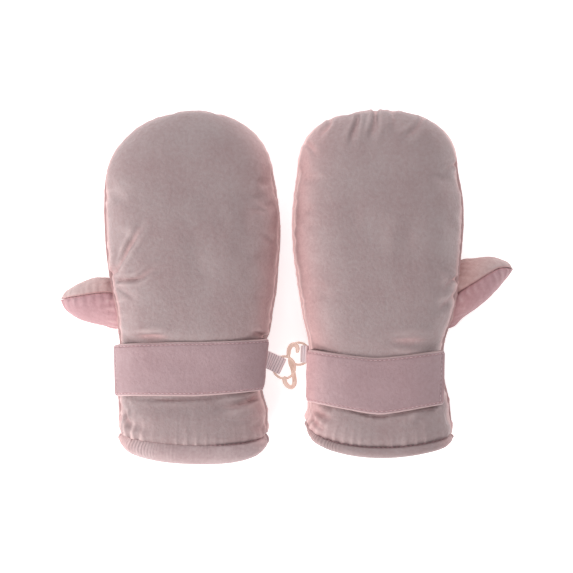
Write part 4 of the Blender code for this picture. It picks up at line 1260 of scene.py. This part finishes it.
def make_strap(mitten, material, sewing):
    """The flat strap over the back of the wrist, topstitched along its edges and across its free end."""
    along, across, far, wide, length, width = strap_places(mitten)
    away_side = np.minimum(wide, width - wide)[:, None]
    away_end = far[None, :]
    edge = np.minimum(np.minimum(away_side, away_end), (length - far)[None, :])
    rounded = np.sqrt(1 - (1 - np.clip(edge / 0.85, 0, 1)) ** 2)
    seed = SEED + 90 + 20 * (mitten.side == "right")
    pulls = 0.5 + 0.5 * np.cos(2 * math.pi * far / STITCH_PITCH)[None, :]
    groove = np.exp(-(((away_side - STRAP_EDGE) / STRAP_GROOVE_WIDTH) ** 2)) * (0.75 + 0.25 * pulls)
    end_row = STRAP_GROOVE * np.exp(-(((away_end - STRAP_END_ROW) / STRAP_GROOVE_WIDTH) ** 2))
    groove = np.maximum(STRAP_GROOVE * groove * (away_end > 0.9), end_row * (away_side > STRAP_EDGE - 0.3))
    flat = np.stack(np.broadcast_arrays(far[None, :], wide[:, None], 0.0), axis=-1)
    ripple = 0.11 * puckers(np.broadcast_to(far[None, :], groove.shape), 5.3, seed) * np.exp(-away_side / 2.6)
    soft = 0.34 * clouds(flat * (1.0, 2.4, 1.0), 17.0, seed) + 0.12 * clouds(flat, 5.0, seed + 1)
    lift = (STRAP_THICK - 0.35 - groove + (ripple + soft) * fade(edge, 0.3, 2.0)) * (0.12 + 0.88 * rounded)
    sunk = STRAP_SINK * (1 - fade((length - far)[None, :], 0.0, STRAP_SINK_REACH))
    from_end, from_side = STRAP_CORNER - (length - far)[None, :], STRAP_CORNER - away_side
    corner = np.hypot(np.maximum(from_end, 0.0), np.maximum(from_side, 0.0))
    sunk = sunk + STRAP_CORNER_SINK * fade(corner, 3.0, 7.0)
    outer = strap_point(mitten, along[None, :], across[:, None], lift - sunk)
    inner = strap_point(mitten, along[None, :], across[:, None], np.zeros_like(lift) - sunk)
    node = f"strap_{mitten.side}"
    # painted highlight along its rim, painted shade along its rows of stitches, and painted pink reflection
    # towards its sewn end where it rounds away
    rim = np.minimum(away_side, away_end)
    painted_rim_highlight = fade(rim, 0.0, 0.15) * (1 - fade(rim, 0.45, 0.85))
    pink = painted_pink_light_and_shade(normals(outer), -mitten.thumb_sign) * fade(far / length, 0.35, 0.85)[None, :]
    marks = {"painted_pink_light_and_shade": pink, "seam": 0.35 + 1.6 * np.abs(rim - STRAP_EDGE) + 0.0 * lift, "ridge": painted_rim_highlight}
    piece = wall(f"{node}_cloth", outer, inner, False, marks)
    settle(piece, node, material)
    inside = (far > 0.7 * STRAP_END_ROW) & (far < length - STRAP_SINK_REACH)
    top = STRAP_THICK - 0.45
    rows = [
        strap_point(mitten, along[inside], STRAP_EDGE / width, top),
        strap_point(mitten, along[inside], 1 - STRAP_EDGE / width, top),
    ]
    at_end = np.interp(STRAP_END_ROW, far, along)
    rows.append(strap_point(mitten, at_end, np.linspace(2.4, width - 2.4, 30) / width, top))
    sewn = settle(stitches(f"{node}_stitches", rows, sewing), None)


def make_tab(mitten, material):
    """A ribbed ribbon folded in two round the clip's ring, with both ends in the seam."""
    tab = mitten.tab
    out, up = tab.fold
    turn = np.radians((90, 45, 0, -45, -90))
    folded = np.stack([out + TAB_FOLD * np.cos(turn), up + TAB_FOLD * np.sin(turn)], axis=-1)
    route = np.concatenate([tab.upper, folded, tab.lower])
    route = even_line(spline(route, np.linspace(0, len(route) - 1, 240)), 0.14)[0]
    far = lengths(route)
    heading = np.array([math.cos(math.radians(tab.heading)), math.sin(math.radians(tab.heading)), 0.0])
    square = np.array([-heading[1], heading[0], 0.0])
    square *= np.sign(square[1])
    slant = math.radians(tab.root_slant)
    root_edge = np.array([math.sin(slant), math.cos(slant), 0.0])
    slope = np.gradient(route, axis=0)
    slope /= np.linalg.norm(slope, axis=1, keepdims=True)
    normal = np.array([0, 0, 1.0]) * slope[:, :1] - heading * slope[:, 1:]
    share = np.clip(route[:, :1] / TAB_TWIST, 0, 1)
    edge = root_edge * (1 - share) + square * share
    edge /= np.linalg.norm(edge, axis=1, keepdims=True)
    middle = np.array([tab.x, tab.y, 0.0]) + heading * route[:, :1] + np.array([0, 0, 1.0]) * route[:, 1:]
    rib = RIB_HEIGHT * np.sin(2 * math.pi * far / RIB_PITCH)
    around = []
    for across in (-1.0, -0.97, -0.9, -0.5, 0.0, 0.5, 0.9, 0.97, 1.0):
        around.append((across, (1 - abs(across) ** 14) ** 0.5 if abs(across) < 1 else 0.0))
    loop = around + [(across, -high) for across, high in around[-2:0:-1]]
    high = TAB_THICK / 2 - 0.1 + rib
    rings = [middle + edge * (a * TAB_WIDTH / 2) + normal * (b * high)[:, None] for a, b in loop]
    rings = np.stack(rings, axis=1)
    across = np.array([a for a, _ in loop])[None, :] * TAB_WIDTH / 2
    flat = np.stack(np.broadcast_arrays(across, far[:, None]), -1).reshape(-1, 2)
    node = f"tab_{mitten.side}"
    piece = cloth_object(f"{node}_cloth", rings, ring_faces(*rings.shape[:2]), flat, {})
    return settle(piece, node, material)


def make_clip(mitten, material):
    """The moulded ring and its open hook, joined with a soft fillet."""
    clip = mitten.clip
    turn = np.linspace(0, 2 * math.pi, 96, endpoint=False)
    tilt = math.radians(clip.tilt)
    ring = np.stack([np.cos(turn) * math.cos(tilt), np.sin(turn), -np.cos(turn) * math.sin(tilt)], axis=-1)
    ring = ring * RING_RADIUS + (clip.x, clip.y, clip.z)
    hoop = tube("hoop", ring, np.full(96, RING_WIRE / 2), 16, closed=True)
    hook = spline(clip.hook, np.linspace(0, len(clip.hook) - 1, 90))
    thick = hook[:, 3] * HOOK_WIRE / 2
    thick[-8:] *= np.sqrt(1 - np.linspace(0, 0.97, 8) ** 2)
    bar = tube("hook", hook[:, :3], thick, 16)
    join = hoop.modifiers.new("join", "BOOLEAN")
    join.operation, join.object, join.solver = "UNION", bar, "MANIFOLD"
    soften = hoop.modifiers.new("soften", "REMESH")
    soften.mode, soften.voxel_size, soften.use_smooth_shade = "VOXEL", CLIP_VOXEL * MM, True
    even = hoop.modifiers.new("even", "SMOOTH")
    even.factor, even.iterations = 0.5, CLIP_SMOOTHING
    made_plain(hoop)
    bpy.data.objects.remove(bar)
    node = f"clip_{mitten.side}"
    hoop.name = f"{node}_plastic"
    return settle(hoop, node, material)


def make_floor():
    """The flat table top."""
    mesh = bpy.data.meshes.new("table")
    shape = bmesh.new()
    bmesh.ops.create_grid(shape, x_segments=8, y_segments=8, size=3.0)
    shape.to_mesh(mesh)
    shape.free()
    floor = added("table", mesh)
    mesh.materials.append(table_top("white table"))


def make_light(name, place, power, size, colour):
    """A soft panel of light that faces the pair."""
    light = bpy.data.lights.new(name, "AREA")
    light.shape, light.size, light.energy, light.color = "DISK", size, power, colour
    obj = added(name, light)
    obj.location = place
    obj.rotation_euler = (-Vector(place)).to_track_quat("-Z", "Y").to_euler()


def make_studio():
    """White table, even sky, and panels of light low down on either side of the pair."""
    make_floor()
    world = bpy.data.worlds.new("studio")
    world.use_nodes = True
    sky = world.node_tree.nodes["Background"]
    sky.inputs["Color"].default_value = SKY
    sky.inputs["Strength"].default_value = SKY_STRENGTH
    bpy.context.scene.world = world
    for name, settings in LIGHTS.items():
        make_light(name, *settings)
    bpy.context.scene.view_settings.view_transform = "Standard"
    camera = bpy.data.cameras.new("camera")
    camera.lens, camera.sensor_width = LENS, SENSOR
    camera.clip_start, camera.clip_end = 0.05, 20.0
    bpy.context.scene.camera = added("camera", camera)
    bpy.context.scene.camera.location = (0.0, 0.0, CAMERA_HEIGHT)


STITCHES = stitch_tree()


def make_pair():
    """Both mittens, piece by piece."""
    nylons = [padded_nylon(name, *colours, PAINTED_RIDGE_HIGHLIGHT) for name, colours in NYLONS.items()]
    nylon, gathered, peach, rose, band = nylons
    sewing = thread("mauve thread", (0.34, 0.19, 0.21, 1.0))
    topstitch = thread("light pink thread", (0.5, 0.36, 0.38, 1.0))
    ribbon = ribbed_ribbon("lilac ribbed ribbon")
    plastic = clear_plastic("clear peach plastic")
    for mitten in (LEFT_MITTEN, RIGHT_MITTEN):
        make_panels(mitten, nylon)
        make_thumb(mitten, (rose, peach))
        # the left hem takes the copy of the nylon painted lighter for the light on it
        make_hem(mitten, gathered if mitten.side == "left" else nylon, sewing)
        make_strap(mitten, band, topstitch)
        make_tab(mitten, ribbon)
        make_clip(mitten, plastic)


make_studio()
make_pair()
